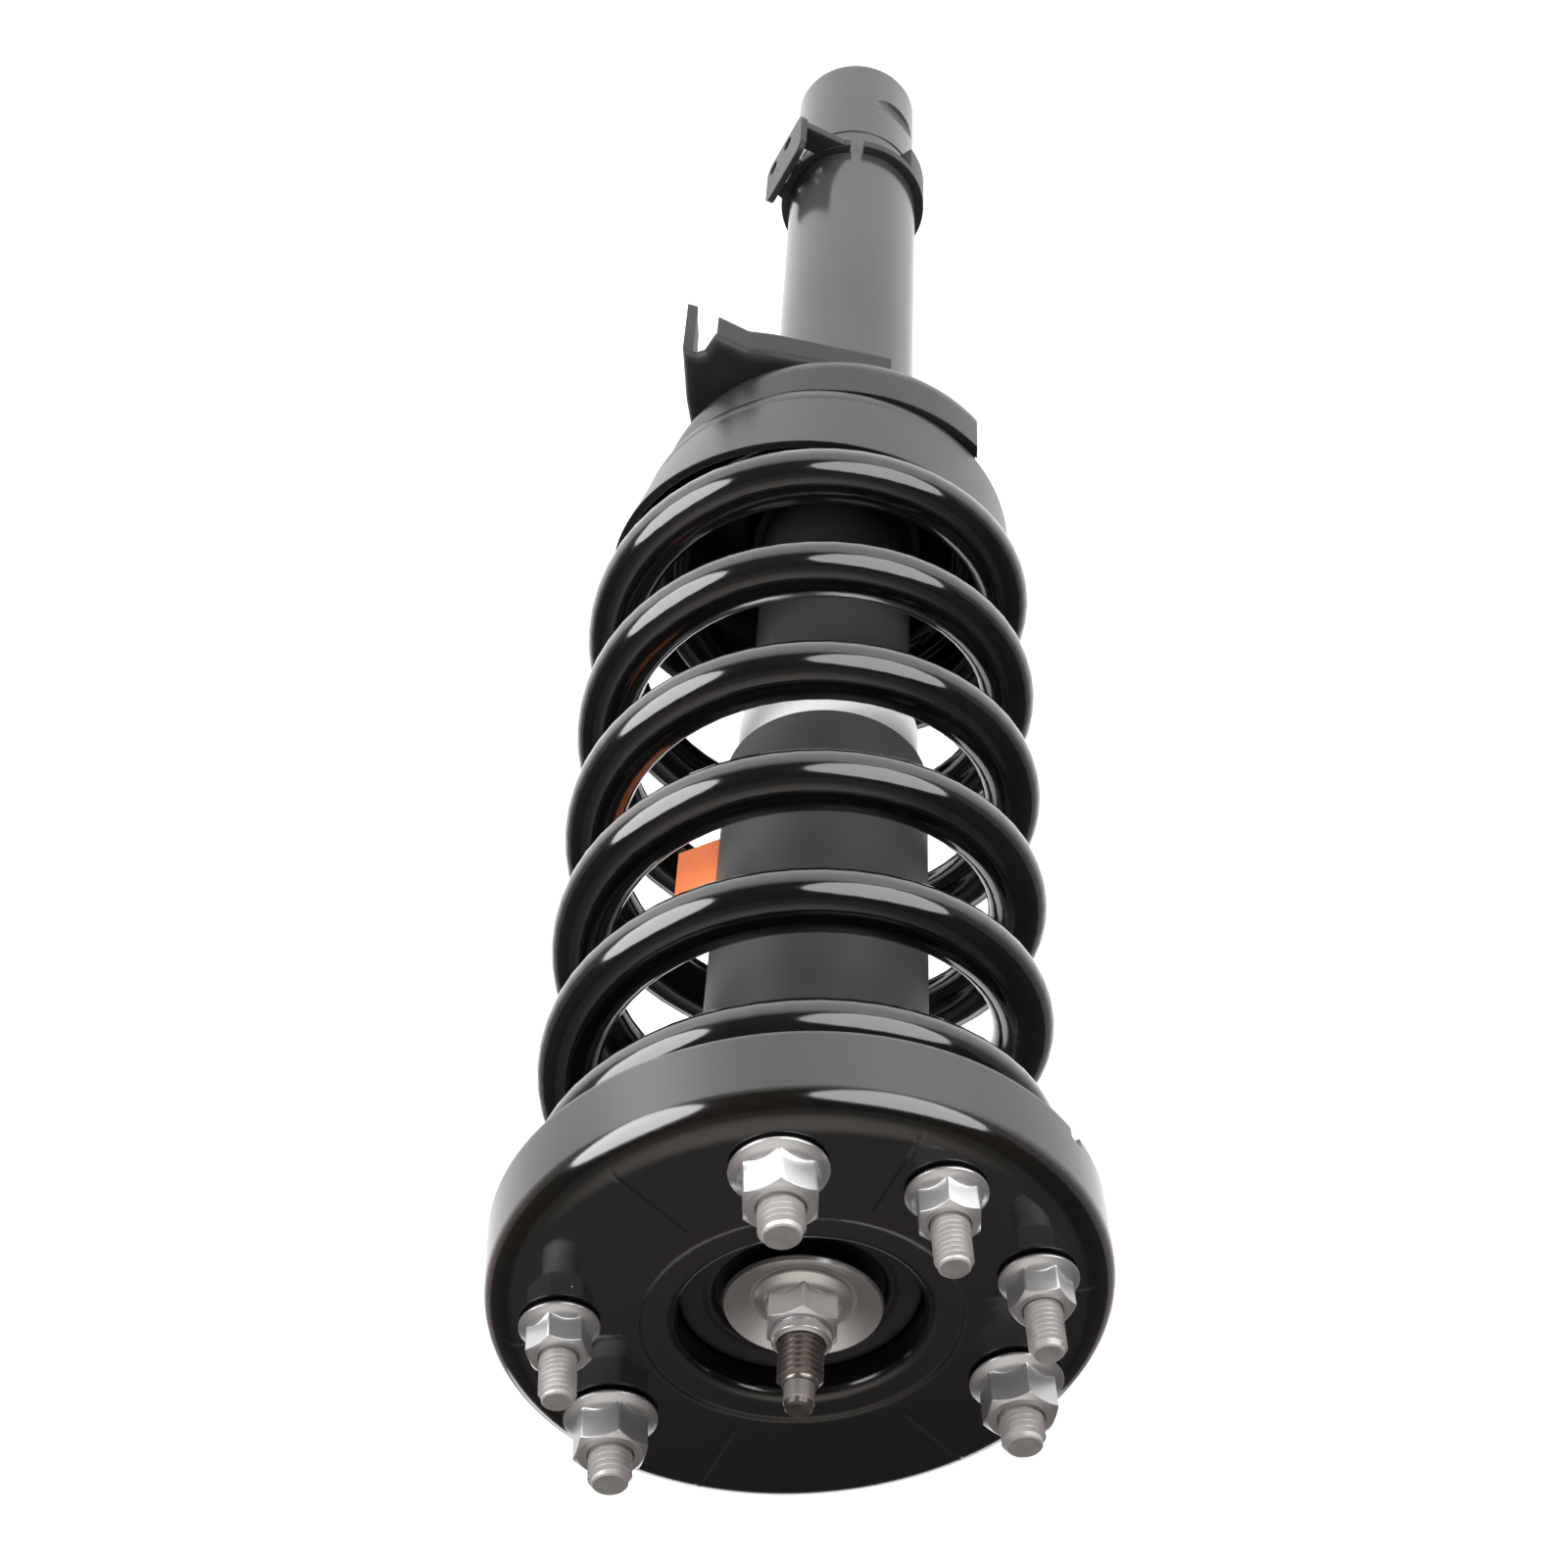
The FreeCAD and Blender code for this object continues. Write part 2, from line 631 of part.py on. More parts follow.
def seat_shell(low, inset):
    # The dish as a solid, drawn in by the sheet: corner, then a wall that
    # flares to one side.
    r = SEAT_R - inset
    curve = SEAT_CORNER_R - inset
    centre = (SEAT_R - SEAT_CORNER_R, low + SEAT_CORNER_R)
    base = turned([
        (0, low + inset), (centre[0], low + inset), arc_to(centre, curve, -90, 0), (0, centre[1])])
    foot = Part.Wire([Part.Circle(Vector(0, 0, centre[1]), Vector(0, 0, 1), r).toShape()])
    head_at = Vector(SEAT_FLARE_SHIFT, 0, centre[1] + SEAT_WALL_H)
    head = Part.Wire([Part.Circle(head_at, Vector(0, 0, 1), r + SEAT_FLARE).toShape()])
    wall = Part.makeLoft([foot, head], True, True)
    return shifted(base.fuse(wall), SEAT_SHIFT)


def above_rim(low):
    # Everything over the slanted rim, and the notch in the wall.
    far = 2.0 * (SEAT_R + SEAT_FLARE)
    slab = Part.makeBox(2.0 * far, 2.0 * far, far, Vector(-far, -far, 0))
    slab.rotate(Vector(0, 0, 0), Vector(1, 0, 0), -math.degrees(math.atan(SEAT_RIM_SLOPE)))
    slab.translate(Vector(0, 0, SEAT_RIM_Z))
    corners = [(0.0, 0.0)]
    for angle in SEAT_NOTCH:
        a = math.radians(angle)
        corners.append((far * math.cos(a), far * math.sin(a)))
    notch = shifted(prism(corners, SEAT_NOTCH_Z, far), SEAT_SHIFT)
    return slab.fuse(notch)


def spring_seat():
    # Dish for the spring, with a collar drawn up round the tube.
    low = seat_floor() - SEAT_T
    dish = seat_shell(low, 0.0).cut(seat_shell(low, SEAT_T)).cut(above_rim(low))
    floor = low + SEAT_T
    curve = SEAT_COLLAR_BEND
    collar = turned([
        (TUBE_R, low), (SEAT_COLLAR_R + curve, low), (SEAT_COLLAR_R + curve, floor),
        arc_to((SEAT_COLLAR_R + curve, floor + curve), curve, -90, -180),
        (SEAT_COLLAR_R, floor + SEAT_COLLAR_H), (TUBE_R, floor + SEAT_COLLAR_H)])
    return dish.fuse(collar).cut(tube_bore(low)).removeSplitter()


def tube_bore(z):
    # Room for the damper tube through a piece at this height.
    reach = 4.0 * TUBE_R
    return Part.makeCylinder(TUBE_R + FIT, 2.0 * reach, Vector(0, 0, z - reach))


def cup_floor():
    return seat_floor() - SEAT_T - CUP_DEPTH


def support_cup():
    # Deep cup welded under the dish, closed on the tube at its floor and
    # cut flat on one side.
    low, t, c = cup_floor(), SEAT_T, CUP_CORNER_R
    centre = (CUP_R - c, low + c)
    top = low + CUP_DEPTH + SEAT_CORNER_R
    cup = turned([(CUP_R, top), (CUP_R, centre[1]), arc_to(centre, c, 0, -90), (0, low), (0, low + t),
                  (centre[0], low + t), arc_to(centre, c - t, -90, 0), (CUP_R - t, top)])
    cup = shifted(cup, CUP_SHIFT)
    dish_low = seat_floor() - SEAT_T
    room = seat_shell(dish_low, -FIT)
    over = Part.makeCylinder(CLEAR, CLEAR, Vector(0, 0, dish_low + 0.5 * SEAT_CORNER_R))
    side = Part.makeBox(CLEAR, 2.0 * CLEAR, CLEAR, Vector(CUP_SIDE_X - CLEAR, -CLEAR, low - 0.5 * CLEAR))
    return cup.cut(room).cut(over).cut(side).cut(tube_bore(low))


def prism(points, z_low, height):
    ring = [Vector(x, y, z_low) for x, y in points]
    return Part.Face(Part.makePolygon(ring + [ring[0]])).extrude(Vector(0, 0, height))


def upright(points, y_from, y_to):
    # Extrudes an (x, z) outline along Y.
    ring = [Vector(x, y_from, z) for x, z in points]
    return Part.Face(Part.makePolygon(ring + [ring[0]])).extrude(Vector(0, y_to - y_from, 0))


def hose_bracket():
    # Pressed plate with a turned-down edge and a cradle between horn and ear.
    t = BRACKET_T
    top = cup_floor()
    plan = BRACKET_FRONT + BRACKET_HORN + BRACKET_REAR
    deep = t + BRACKET_EAR
    blank = prism(plan, top - deep, deep)
    rims = []
    for edge in blank.Edges:
        box = edge.BoundBox
        front = box.YMax < BRACKET_EAR_FOOT + 2.0 and box.XMin > BRACKET_FLANGE_END - 1.0
        if box.ZMin > top - 0.01 and front:
            rims.append(edge)
    blank = blank.makeFillet(BRACKET_BEND_R, rims)
    ring = [Vector(x, y, top - 2.0 * deep) for x, y in plan]
    inner = Part.Face(Part.makePolygon(ring + [ring[0]])).makeOffset2D(-t, 2)
    plate = blank.cut(inner.extrude(Vector(0, 0, 2.0 * deep - t)))
    # What hangs down is kept along the front and at the ear only.
    low, under = top - 2.0 * deep, top - t
    edge_low = under - BRACKET_FLANGE
    start, end, ear_x = BRACKET_FLANGE_END, BRACKET_HORN_END, BRACKET_EAR_X
    before = [(-CLEAR, low), (start, low), (start, under), (-CLEAR, under)]
    below = [(start, low), (end, low), (end, edge_low), (start, edge_low + 1.5)]
    cradle = [(end, low), (ear_x, low), (ear_x, under), (end, under)]
    for outline in (before, below, cradle):
        plate = plate.cut(upright(outline, -CLEAR, CLEAR))
    behind = Part.makeBox(2.0 * CLEAR, CLEAR, deep, Vector(-CLEAR, BRACKET_EAR_FOOT, under - deep))
    tip = BRACKET_REAR[0][1] + BRACKET_EAR_TIP_W
    ear = [Vector(0, y, z) for y, z in (
        (BRACKET_EAR_FOOT, under - 2.0), (tip, under - BRACKET_EAR), (tip, low), (CLEAR, low),
        (CLEAR, under), (BRACKET_EAR_FOOT, under))]
    slope = Part.Face(Part.makePolygon(ear + [ear[0]])).extrude(Vector(CLEAR, 0, 0))
    plate = plate.cut(behind).cut(slope.translated(Vector(ear_x - t, 0, 0)))
    return plate.cut(tube_bore(top))


def step_room():
    # The tube's step with its fit, for the collar that sits on it.
    low, high = TUBE_BOTTOM, STEP_Z + 2.0 * TUBE_R
    r, s = TUBE_R + FIT, STUB_TUBE_R - STUB_RELIEF + FIT
    return turned([(0, low), (s, low), (s, STEP_Z - STEP_H - FIT), (r, STEP_Z - FIT), (r, high), (0, high)])


def pinch_groove(radius):
    # A roller across the stub, for the clamp bolt's groove.
    at = Vector(STUB_TUBE_R + PINCH_R - PINCH_DEPTH, -CLEAR, PINCH_Z)
    roller = Part.makeCylinder(radius, 2.0 * CLEAR, at, Vector(0, 1, 0))
    return rotate_z(roller, PINCH_AT)


def damper_tube():
    # Tube drawn down below the locating collar, with the pinch bolt's groove.
    low, r, e = TUBE_BOTTOM, STUB_TUBE_R, TUBE_END_R
    relief = r - STUB_RELIEF
    outer = turned([
        (0, low), (r - e, low), arc_to((r - e, low + e), e, -90, 0), (r, RELIEF_Z), (relief, RELIEF_Z),
        (relief, STEP_Z - STEP_H), (TUBE_R, STEP_Z), (TUBE_R, TUBE_TOP), (0, TUBE_TOP)])
    inner_r, bore_r, floor = r - TUBE_WALL, TUBE_R - TUBE_WALL, low + END_CAP_T
    inner = turned([
        (0, floor), (inner_r, floor), (inner_r, STEP_Z - STEP_H), (bore_r, STEP_Z),
        (bore_r, TUBE_TOP + 1.0), (0, TUBE_TOP + 1.0)])
    return outer.cut(pinch_groove(PINCH_R)).cut(inner.cut(pinch_groove(PINCH_R + TUBE_WALL)))


def bump_cap():
    # Plated cap pressed over the tube's end, its skirt rounded at the rim.
    top = TUBE_TOP + CAP_T
    low = top - CAP_DEPTH
    fit = TUBE_R + FIT
    return turned([
        (ROD_R + 1.5, TUBE_TOP), (fit, TUBE_TOP), (fit, low), (CAP_R - 1.8, low), (CAP_R - 0.6, low + 0.7),
        (CAP_R, low + 2.2), (CAP_R, top - 2.5), (CAP_R - 2.5, top), (ROD_R + 1.5, top)])


def guide_top():
    return TUBE_TOP - SEAL_H


def rod_guide():
    top = guide_top()
    r_out = TUBE_R - TUBE_WALL - FIT
    inner = INNER_R - INNER_WALL - FIT
    low = top - GUIDE_H
    return turned([
        (ROD_R + RUN, low), (inner, low), (inner, low + 8.0), (r_out, low + 8.0), (r_out, top),
        (ROD_R + RUN, top)])


def rod_seal():
    r_out = TUBE_R - TUBE_WALL - FIT
    top = guide_top()
    return tube(r_out, ROD_R + RUN, top, SEAL_H)


def inner_cylinder():
    low = TUBE_BOTTOM + END_CAP_T + BASE_H
    top = guide_top() - GUIDE_H + 8.0
    return tube(INNER_R, INNER_R - INNER_WALL, low, top - low)


def base_valve():
    # Stepped foot valve between the inner cylinder and the closed end.
    low = TUBE_BOTTOM + END_CAP_T
    top = low + BASE_H
    plug_r = INNER_R - INNER_WALL - FIT
    return turned([
        (0, low), (INNER_R - 3.0, low), (INNER_R, low + 4.0), (INNER_R, top), (plug_r, top),
        (plug_r, top + 5.0), (0, top + 5.0)])


def piston_top():
    return guide_top() - GUIDE_H - 1.0 - REBOUND_H


def piston_low():
    return piston_top() - PISTON_H


def piston():
    # Piston with a groove for its band.
    r = INNER_R - INNER_WALL - RUN
    low, top = piston_low(), piston_top()
    mid, half = 0.5 * (top + low), 0.5 * PISTON_RING_H
    return turned([
        (STUB_R + FIT, low), (r - 2.0, low), (r - 0.6, low + 1.5), (r - 0.6, mid - half),
        (r - 2.0, mid - half), (r - 2.0, mid + half), (r - 0.6, mid + half), (r - 0.6, top - 1.5),
        (r - 2.0, top), (STUB_R + FIT, top)])


def piston_band():
    r = INNER_R - INNER_WALL - RUN
    mid = 0.5 * (piston_top() + piston_low())
    return tube(r, r - 2.0 + FIT, mid - 0.5 * PISTON_RING_H + FIT, PISTON_RING_H - 2.0 * FIT)


def rebound_stop():
    return tube(min(REBOUND_R, INNER_R - INNER_WALL - 1.0), ROD_R + FIT, piston_top(), REBOUND_H)


def piston_nut():
    nut = hexagon(PISTON_NUT_AF, piston_low() - PISTON_NUT_H, PISTON_NUT_H)
    return nut.cut(Part.makeCylinder(STUB_R + FIT, 60.0, Vector(0, 0, piston_low() - 50.0)))


def locating_collar():
    # Split ring welded on the step, with a stop on one side.
    z, t = COLLAR_BOTTOM, COLLAR_T
    ring = Part.makeCylinder(COLLAR_R, t, Vector(0, 0, z))
    slot = Part.makeBox(CLEAR, COLLAR_SLOT, 4.0 * t, Vector(0.5 * TUBE_R, -0.5 * COLLAR_SLOT, z - t))
    ring = ring.cut(rotate_z(slot, COLLAR_SLOT_AT))
    span = STOP_TO - STOP_FROM
    stop = Part.makeCylinder(COLLAR_R, STOP_DROP + t, Vector(0, 0, z - STOP_DROP), Vector(0, 0, 1), span)
    return ring.fuse(rotate_z(stop, STOP_FROM)).cut(step_room()).removeSplitter()


def clip_tab():
    # Plate with two holes on a foot that is welded to the collar. The foot
    # is notched behind the holes, so a clip's shank can pass.
    z, t = COLLAR_BOTTOM, COLLAR_T
    back = TAB_STAND - TAB_T
    end = TAB_FROM + TAB_WIDTH
    spread = end + 2.0 * TAB_FOOT_SPREAD
    foot = prism([(TAB_STAND, TAB_FROM), (TAB_STAND, end), (0.0, spread), (0.0, TAB_FROM)], z, t)
    foot = foot.cut(Part.makeCylinder(COLLAR_R + FIT, 4.0 * t, Vector(0, 0, z - t)))
    plate = Part.makeBox(TAB_T, TAB_WIDTH, TAB_RISE, Vector(back, TAB_FROM, z - TAB_DROP))
    corners = [e for e in plate.Edges if abs(e.BoundBox.XLength - TAB_T) < 1e-3]
    plate = plate.makeFillet(TAB_CORNER_R, corners)
    room = TAB_HOLE_R + TAB_HOLE_ROOM
    for side in (-0.5, 0.5):
        middle = TAB_HOLE_MID + side * TAB_HOLE_GAP
        at = Vector(back - TAB_T, middle, z - TAB_DROP + TAB_HOLE_RISE)
        plate = plate.cut(Part.makeCylinder(TAB_HOLE_R, 4.0 * TAB_T, at, Vector(1, 0, 0)))
        foot = foot.cut(Part.makeBox(TAB_STAND, 2.0 * room, 4.0 * t, Vector(0, middle - room, z - t)))
    return rotate_z(foot.fuse(plate).removeSplitter(), TAB_AT)


def save(name, shape):
    solids = shape.Solids
    if not shape.isValid() or not solids:
        raise ValueError("bad shape " + name)
    volume = sum(s.Volume for s in solids)
    print("%-18s %2d solid(s) %9.0f mm3" % (name, len(solids), volume))
    if len(solids) == 1:
        shape = solids[0]
    shape.exportStep("parts/" + name + ".step")


NODES = (
    ("mount_plate", mount_plate),
    ("large_studs", large_studs),
    ("small_studs", small_studs),
    ("large_nuts", large_nuts),
    ("small_nuts", small_nuts),
    ("bush_retainer", bush_retainer),
    ("bush_rubber", bush_rubber),
    ("upper_spring_pad", upper_pad),
    ("bush_sleeve", bush_sleeve),
    ("upper_cup_washer", upper_cup_washer),
    ("lower_washer", lower_washer),
    ("rod_nut", rod_nut),
    ("piston_rod", piston_rod),
    ("bump_stop", bump_stop),
    ("dust_cover", dust_cover),
    ("tag", tag),
    ("coil_spring", coil_spring),
    ("piston", piston),
    ("piston_band", piston_band),
    ("rebound_stop", rebound_stop),
    ("piston_nut", piston_nut),
    ("damper_tube", damper_tube),
    ("bump_cap", bump_cap),
    ("rod_guide", rod_guide),
    ("rod_seal", rod_seal),
    ("inner_cylinder", inner_cylinder),
    ("base_valve", base_valve),
    ("spring_seat", spring_seat),
    ("support_cup", support_cup),
    ("lower_spring_pad", lower_pad),
    ("hose_bracket", hose_bracket),
    ("locating_collar", locating_collar),
    ("clip_tab", clip_tab),
)

for node, make in NODES:
    save(node, make())
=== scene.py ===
# %% [markdown]
# # A coil-over strut, dressed for its photograph
#
# The solids of the strut come packed as a fixed frame. This lesson loads them,
# sets up the studio and the camera, makes the finishes as node materials, and
# models what the solids leave plain: the threads, the wound wire and the rubber.
# Everything is in metres, with +Z up along the damper towards the upper mount.

# %% Load the frame
import math

import bpy
from mathutils import Matrix, Quaternion, Vector


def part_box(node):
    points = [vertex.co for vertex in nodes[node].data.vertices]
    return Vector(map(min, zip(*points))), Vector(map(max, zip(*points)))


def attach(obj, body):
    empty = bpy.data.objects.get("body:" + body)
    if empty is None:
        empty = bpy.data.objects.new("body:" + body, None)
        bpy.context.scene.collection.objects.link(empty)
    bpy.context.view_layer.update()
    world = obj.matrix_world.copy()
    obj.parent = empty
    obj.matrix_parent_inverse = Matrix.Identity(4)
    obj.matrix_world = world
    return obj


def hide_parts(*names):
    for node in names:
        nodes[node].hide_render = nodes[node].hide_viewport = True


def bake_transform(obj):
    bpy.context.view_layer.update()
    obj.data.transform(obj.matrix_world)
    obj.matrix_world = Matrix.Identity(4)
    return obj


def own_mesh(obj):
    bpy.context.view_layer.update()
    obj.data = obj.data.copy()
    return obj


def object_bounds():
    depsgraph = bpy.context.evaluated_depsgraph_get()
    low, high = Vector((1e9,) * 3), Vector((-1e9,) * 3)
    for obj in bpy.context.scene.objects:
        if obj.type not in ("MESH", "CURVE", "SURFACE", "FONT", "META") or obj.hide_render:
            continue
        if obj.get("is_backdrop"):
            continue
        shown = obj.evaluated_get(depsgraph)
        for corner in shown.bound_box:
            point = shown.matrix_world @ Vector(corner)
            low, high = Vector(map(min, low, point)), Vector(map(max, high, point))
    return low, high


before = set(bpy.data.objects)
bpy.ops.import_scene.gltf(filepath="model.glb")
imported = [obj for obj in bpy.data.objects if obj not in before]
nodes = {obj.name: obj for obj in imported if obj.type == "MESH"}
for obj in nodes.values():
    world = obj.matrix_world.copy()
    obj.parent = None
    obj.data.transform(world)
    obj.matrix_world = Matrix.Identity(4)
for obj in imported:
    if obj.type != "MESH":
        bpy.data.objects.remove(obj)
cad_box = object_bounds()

MM = 0.001
bpy.ops.object.select_all(action="DESELECT")
print("nodes in the frame:", len(nodes))

# %% [markdown]
# ## The camera
#
# The photographer stood at the mount's end and held the camera upside down to
# the strut, so that the mount is large and low in the picture and the tube runs
# away upwards. An aim point and a roll say that more plainly than three angles.
# The picture was cropped a little off its centre, which is a small lens shift.

# %% Camera
CAMERA_AT = Vector((-0.0226, -0.5861, 0.4152))
CAMERA_AIM = Vector((0.0077, 0.0, -0.2400))
CAMERA_ROLL = math.radians(183.12)

bpy.ops.object.camera_add(location=CAMERA_AT)
camera = bpy.context.object
camera.name = "studio_camera"
camera.data.sensor_width = 36.0
camera.data.lens = 62.78
camera.data.shift_x = -0.0142
camera.data.shift_y = -0.0536
camera.data.clip_start = 0.01
camera.data.clip_end = 50.0
look = (CAMERA_AIM - CAMERA_AT).to_track_quat("-Z", "Y")
camera.rotation_mode = "QUATERNION"
camera.rotation_quaternion = look @ Quaternion((0, 0, 1), CAMERA_ROLL)
bpy.context.scene.camera = camera
print("camera is %.2f m from what it aims at" % (CAMERA_AIM - CAMERA_AT).length)

# %% [markdown]
# ## Small tools for node trees
#
# The paper, the room and every finish are node trees. These three helpers set a
# socket, lay a Math node and lay a smooth slope, so that a tree reads as a sum.


# %% Node tools
def plug(tree, value, socket):
    """Sets a socket to a plain value, or links it."""
    if isinstance(value, bpy.types.NodeSocket):
        tree.links.new(value, socket)
    else:
        socket.default_value = value


def calc(tree, operation, *values, clamp=False):
    """A Math node on sockets or plain numbers. Gives its output."""
    node = tree.nodes.new("ShaderNodeMath")
    node.operation = operation
    node.use_clamp = clamp
    for value, socket in zip(values, node.inputs):
        plug(tree, value, socket)
    return node.outputs[0]


def slope(tree, value, starts, ends, low, high):
    """A smooth way from low to high while a value goes from starts to ends."""
    node = tree.nodes.new("ShaderNodeMapRange")
    node.interpolation_type = "SMOOTHSTEP"
    tree.links.new(value, node.inputs["Value"])
    numbers = {"From Min": starts, "From Max": ends, "To Min": low, "To Max": high}
    for label, number in numbers.items():
        node.inputs[label].default_value = number
    return node.outputs["Result"]


# %% [markdown]
# ## Floor and lights
#
# The strut was photographed over white paper, lit until it is pure white, in
# an otherwise dim room, with one soft box on each side of the camera. Gloss
# paint shows that room: the paper is the pale band along every coil, and the
# boxes are the two long highlights. The paper is a sheet that glows with light
# of its own, a painted pool of light brightest round the strut's foot, and that
# glow stands in for the light real paper throws up under the strut.

# %% Paper floor
GROUND = cad_box[0][2]
PAPER_GAP = 0.0005
GLOW_CENTRE = (0.15, 0.10, GROUND)

bpy.ops.mesh.primitive_plane_add(size=12.0, location=(0, 4.7, GROUND - PAPER_GAP))
floor = bpy.context.object
floor.name = "paper_floor"
floor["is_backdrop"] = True
paper = bpy.data.materials.new("white_paper")
paper.use_nodes = True
tree = paper.node_tree
shader = tree.nodes["Principled BSDF"]
shader.inputs["Base Color"].default_value = (0.85, 0.85, 0.85, 1)
shader.inputs["Roughness"].default_value = 0.9
shader.inputs["Emission Color"].default_value = (1, 1, 1, 1)
far = tree.nodes.new("ShaderNodeVectorMath")
far.operation = "DISTANCE"
tree.links.new(tree.nodes.new("ShaderNodeNewGeometry").outputs["Position"], far.inputs[0])
far.inputs[1].default_value = GLOW_CENTRE
# The glow is a painted pool of light: brightest round the strut's foot and fading out by 1.5 m,
# seen only in reflections and bounced light. The camera sees the paper evenly white.
glow = slope(tree, far.outputs["Value"], 0.2, 1.5, 0.75, 0.05)
seen = tree.nodes.new("ShaderNodeLightPath").outputs["Is Camera Ray"]
tree.links.new(calc(tree, "MAXIMUM", seen, glow), shader.inputs["Emission Strength"])
floor.data.materials.append(paper)
print("paper lies %.1f mm under the strut" % (PAPER_GAP / MM))

# %% Dim room, white behind the paper
room = bpy.data.worlds.new("dim_room")
bpy.context.scene.world = room
room.use_nodes = True
tree = room.node_tree
dim = tree.nodes["Background"]
dim.inputs["Color"].default_value = (1.0, 0.93, 0.86, 1)
way = tree.nodes.new("ShaderNodeSeparateXYZ")
tree.links.new(tree.nodes.new("ShaderNodeTexCoord").outputs["Generated"], way.inputs[0])
walls = slope(tree, way.outputs["Z"], 0.56, 0.66, 0.07, 0.21)
ceiling = slope(tree, way.outputs["Z"], 0.74, 1.0, 0.0, 0.75)
tree.links.new(calc(tree, "ADD", walls, ceiling), dim.inputs["Strength"])
white = tree.nodes.new("ShaderNodeBackground")
white.inputs["Color"].default_value = (1, 1, 1, 1)
white.inputs["Strength"].default_value = 1.0
seen = tree.nodes.new("ShaderNodeLightPath").outputs["Is Camera Ray"]
choose = tree.nodes.new("ShaderNodeMixShader")
for source, socket in zip((seen, dim.outputs[0], white.outputs[0]), choose.inputs):
    tree.links.new(source, socket)
tree.links.new(choose.outputs["Shader"], tree.nodes["World Output"].inputs["Surface"])
bpy.context.scene.view_settings.view_transform = "Standard"
print("room: dim at eye height, lighter at the ceiling")


# %% Soft boxes
def soft_box(name, at, size, brightness):
    """A soft box that faces the strut's axis level. Brightness is its radiance."""
    bpy.ops.object.light_add(type="AREA", location=at)
    lamp = bpy.context.object
    lamp.name = name
    lamp.data.shape = "ELLIPSE"
    lamp.data.size, lamp.data.size_y = size
    area = math.pi / 4 * size[0] * size[1]
    lamp.data.energy = math.pi * area * brightness
    lamp.rotation_mode = "QUATERNION"
    lamp.rotation_quaternion = Vector((-at[0], -at[1], 0)).to_track_quat("-Z", "Y")
    lamp.visible_camera = False
    print("%s: %.0f W" % (name, lamp.data.energy))


soft_box("box_left", at=(0.768, -0.589, -0.130), size=(0.84, 0.84), brightness=8.5)
soft_box("box_right", at=(-0.531, -0.805, -0.150), size=(1.08, 0.82), brightness=5.5)
soft_box("box_behind", at=(0.10, 1.60, -0.10), size=(1.60, 0.60), brightness=1.5)

# %% [markdown]
# ## Shared effects
#
# Paint, plate and rubber differ in colour and gloss, but each has some grain,
# some unevenness and some small marks. Each effect is a node group, so every
# finish can use it with values of its own. A group puts out values that vary
# over the surface, and the shader stays in the material.


# %% Group tools
def new_group(name, numbers, outputs, vectors=("Where",)):
    """A node group, with its two end nodes. Numbers are its number inputs by name."""
    group = bpy.data.node_groups.new(name, "ShaderNodeTree")
    for label in vectors:
        group.interface.new_socket(label, in_out="INPUT", socket_type="NodeSocketVector")
    for label, value in numbers.items():
        socket = group.interface.new_socket(label, in_out="INPUT", socket_type="NodeSocketFloat")
        socket.default_value = value
    for label in outputs:
        group.interface.new_socket(label, in_out="OUTPUT", socket_type="NodeSocketFloat")
    into = group.nodes.new("NodeGroupInput").outputs
    return group, into, group.nodes.new("NodeGroupOutput").inputs


def noise(tree, where, scale, detail=3.0):
    """Noise at a place, at a scale that is a number or a socket."""
    node = tree.nodes.new("ShaderNodeTexNoise")
    node.inputs["Detail"].default_value = detail
    plug(tree, where, node.inputs["Vector"])
    plug(tree, scale, node.inputs["Scale"])
    return node.outputs[0]


# %% Grain: fine relief and a slow unevenness
grain, into, out = new_group(
    "grain", {"Fine Scale": 900.0, "Slow Scale": 18.0, "Gloss": 0.4, "Gloss Spread": 0.08},
    ["Relief", "Tone", "Roughness"])
fine = noise(grain, into["Where"], into["Fine Scale"])
slow = noise(grain, into["Where"], into["Slow Scale"], 5.0)
grain.links.new(fine, out["Relief"])
drift = calc(grain, "SUBTRACT", slow, 0.5)
grain.links.new(calc(grain, "MULTIPLY_ADD", drift, 2.4, 0.5, clamp=True), out["Tone"])
swing = calc(grain, "MULTIPLY", drift, into["Gloss Spread"])
gloss = calc(grain, "MULTIPLY_ADD", swing, 2.0, into["Gloss"], clamp=True)
grain.links.new(gloss, out["Roughness"])
print("group:", grain.name)

# %% Chips: rare small spots where paint has lifted or dust sits
chips, into, out = new_group("chips", {"Scale": 60.0, "Size": 0.10, "Share": 0.06}, ["Mask"])
cells = chips.nodes.new("ShaderNodeTexVoronoi")
chips.links.new(into["Where"], cells.inputs["Vector"])
chips.links.new(into["Scale"], cells.inputs["Scale"])
pick = chips.nodes.new("ShaderNodeSeparateColor")
chips.links.new(cells.outputs["Color"], pick.inputs[0])
chosen = calc(chips, "LESS_THAN", pick.outputs[0], into["Share"])
size = calc(chips, "MULTIPLY", into["Size"], pick.outputs[1])
speckle = noise(chips, into["Where"], 900.0)
ragged = calc(chips, "MULTIPLY_ADD", speckle, 0.06, cells.outputs["Distance"])
spot = calc(chips, "LESS_THAN", ragged, size)
chips.links.new(calc(chips, "MULTIPLY", chosen, spot), out["Mask"])
print("group:", chips.name)
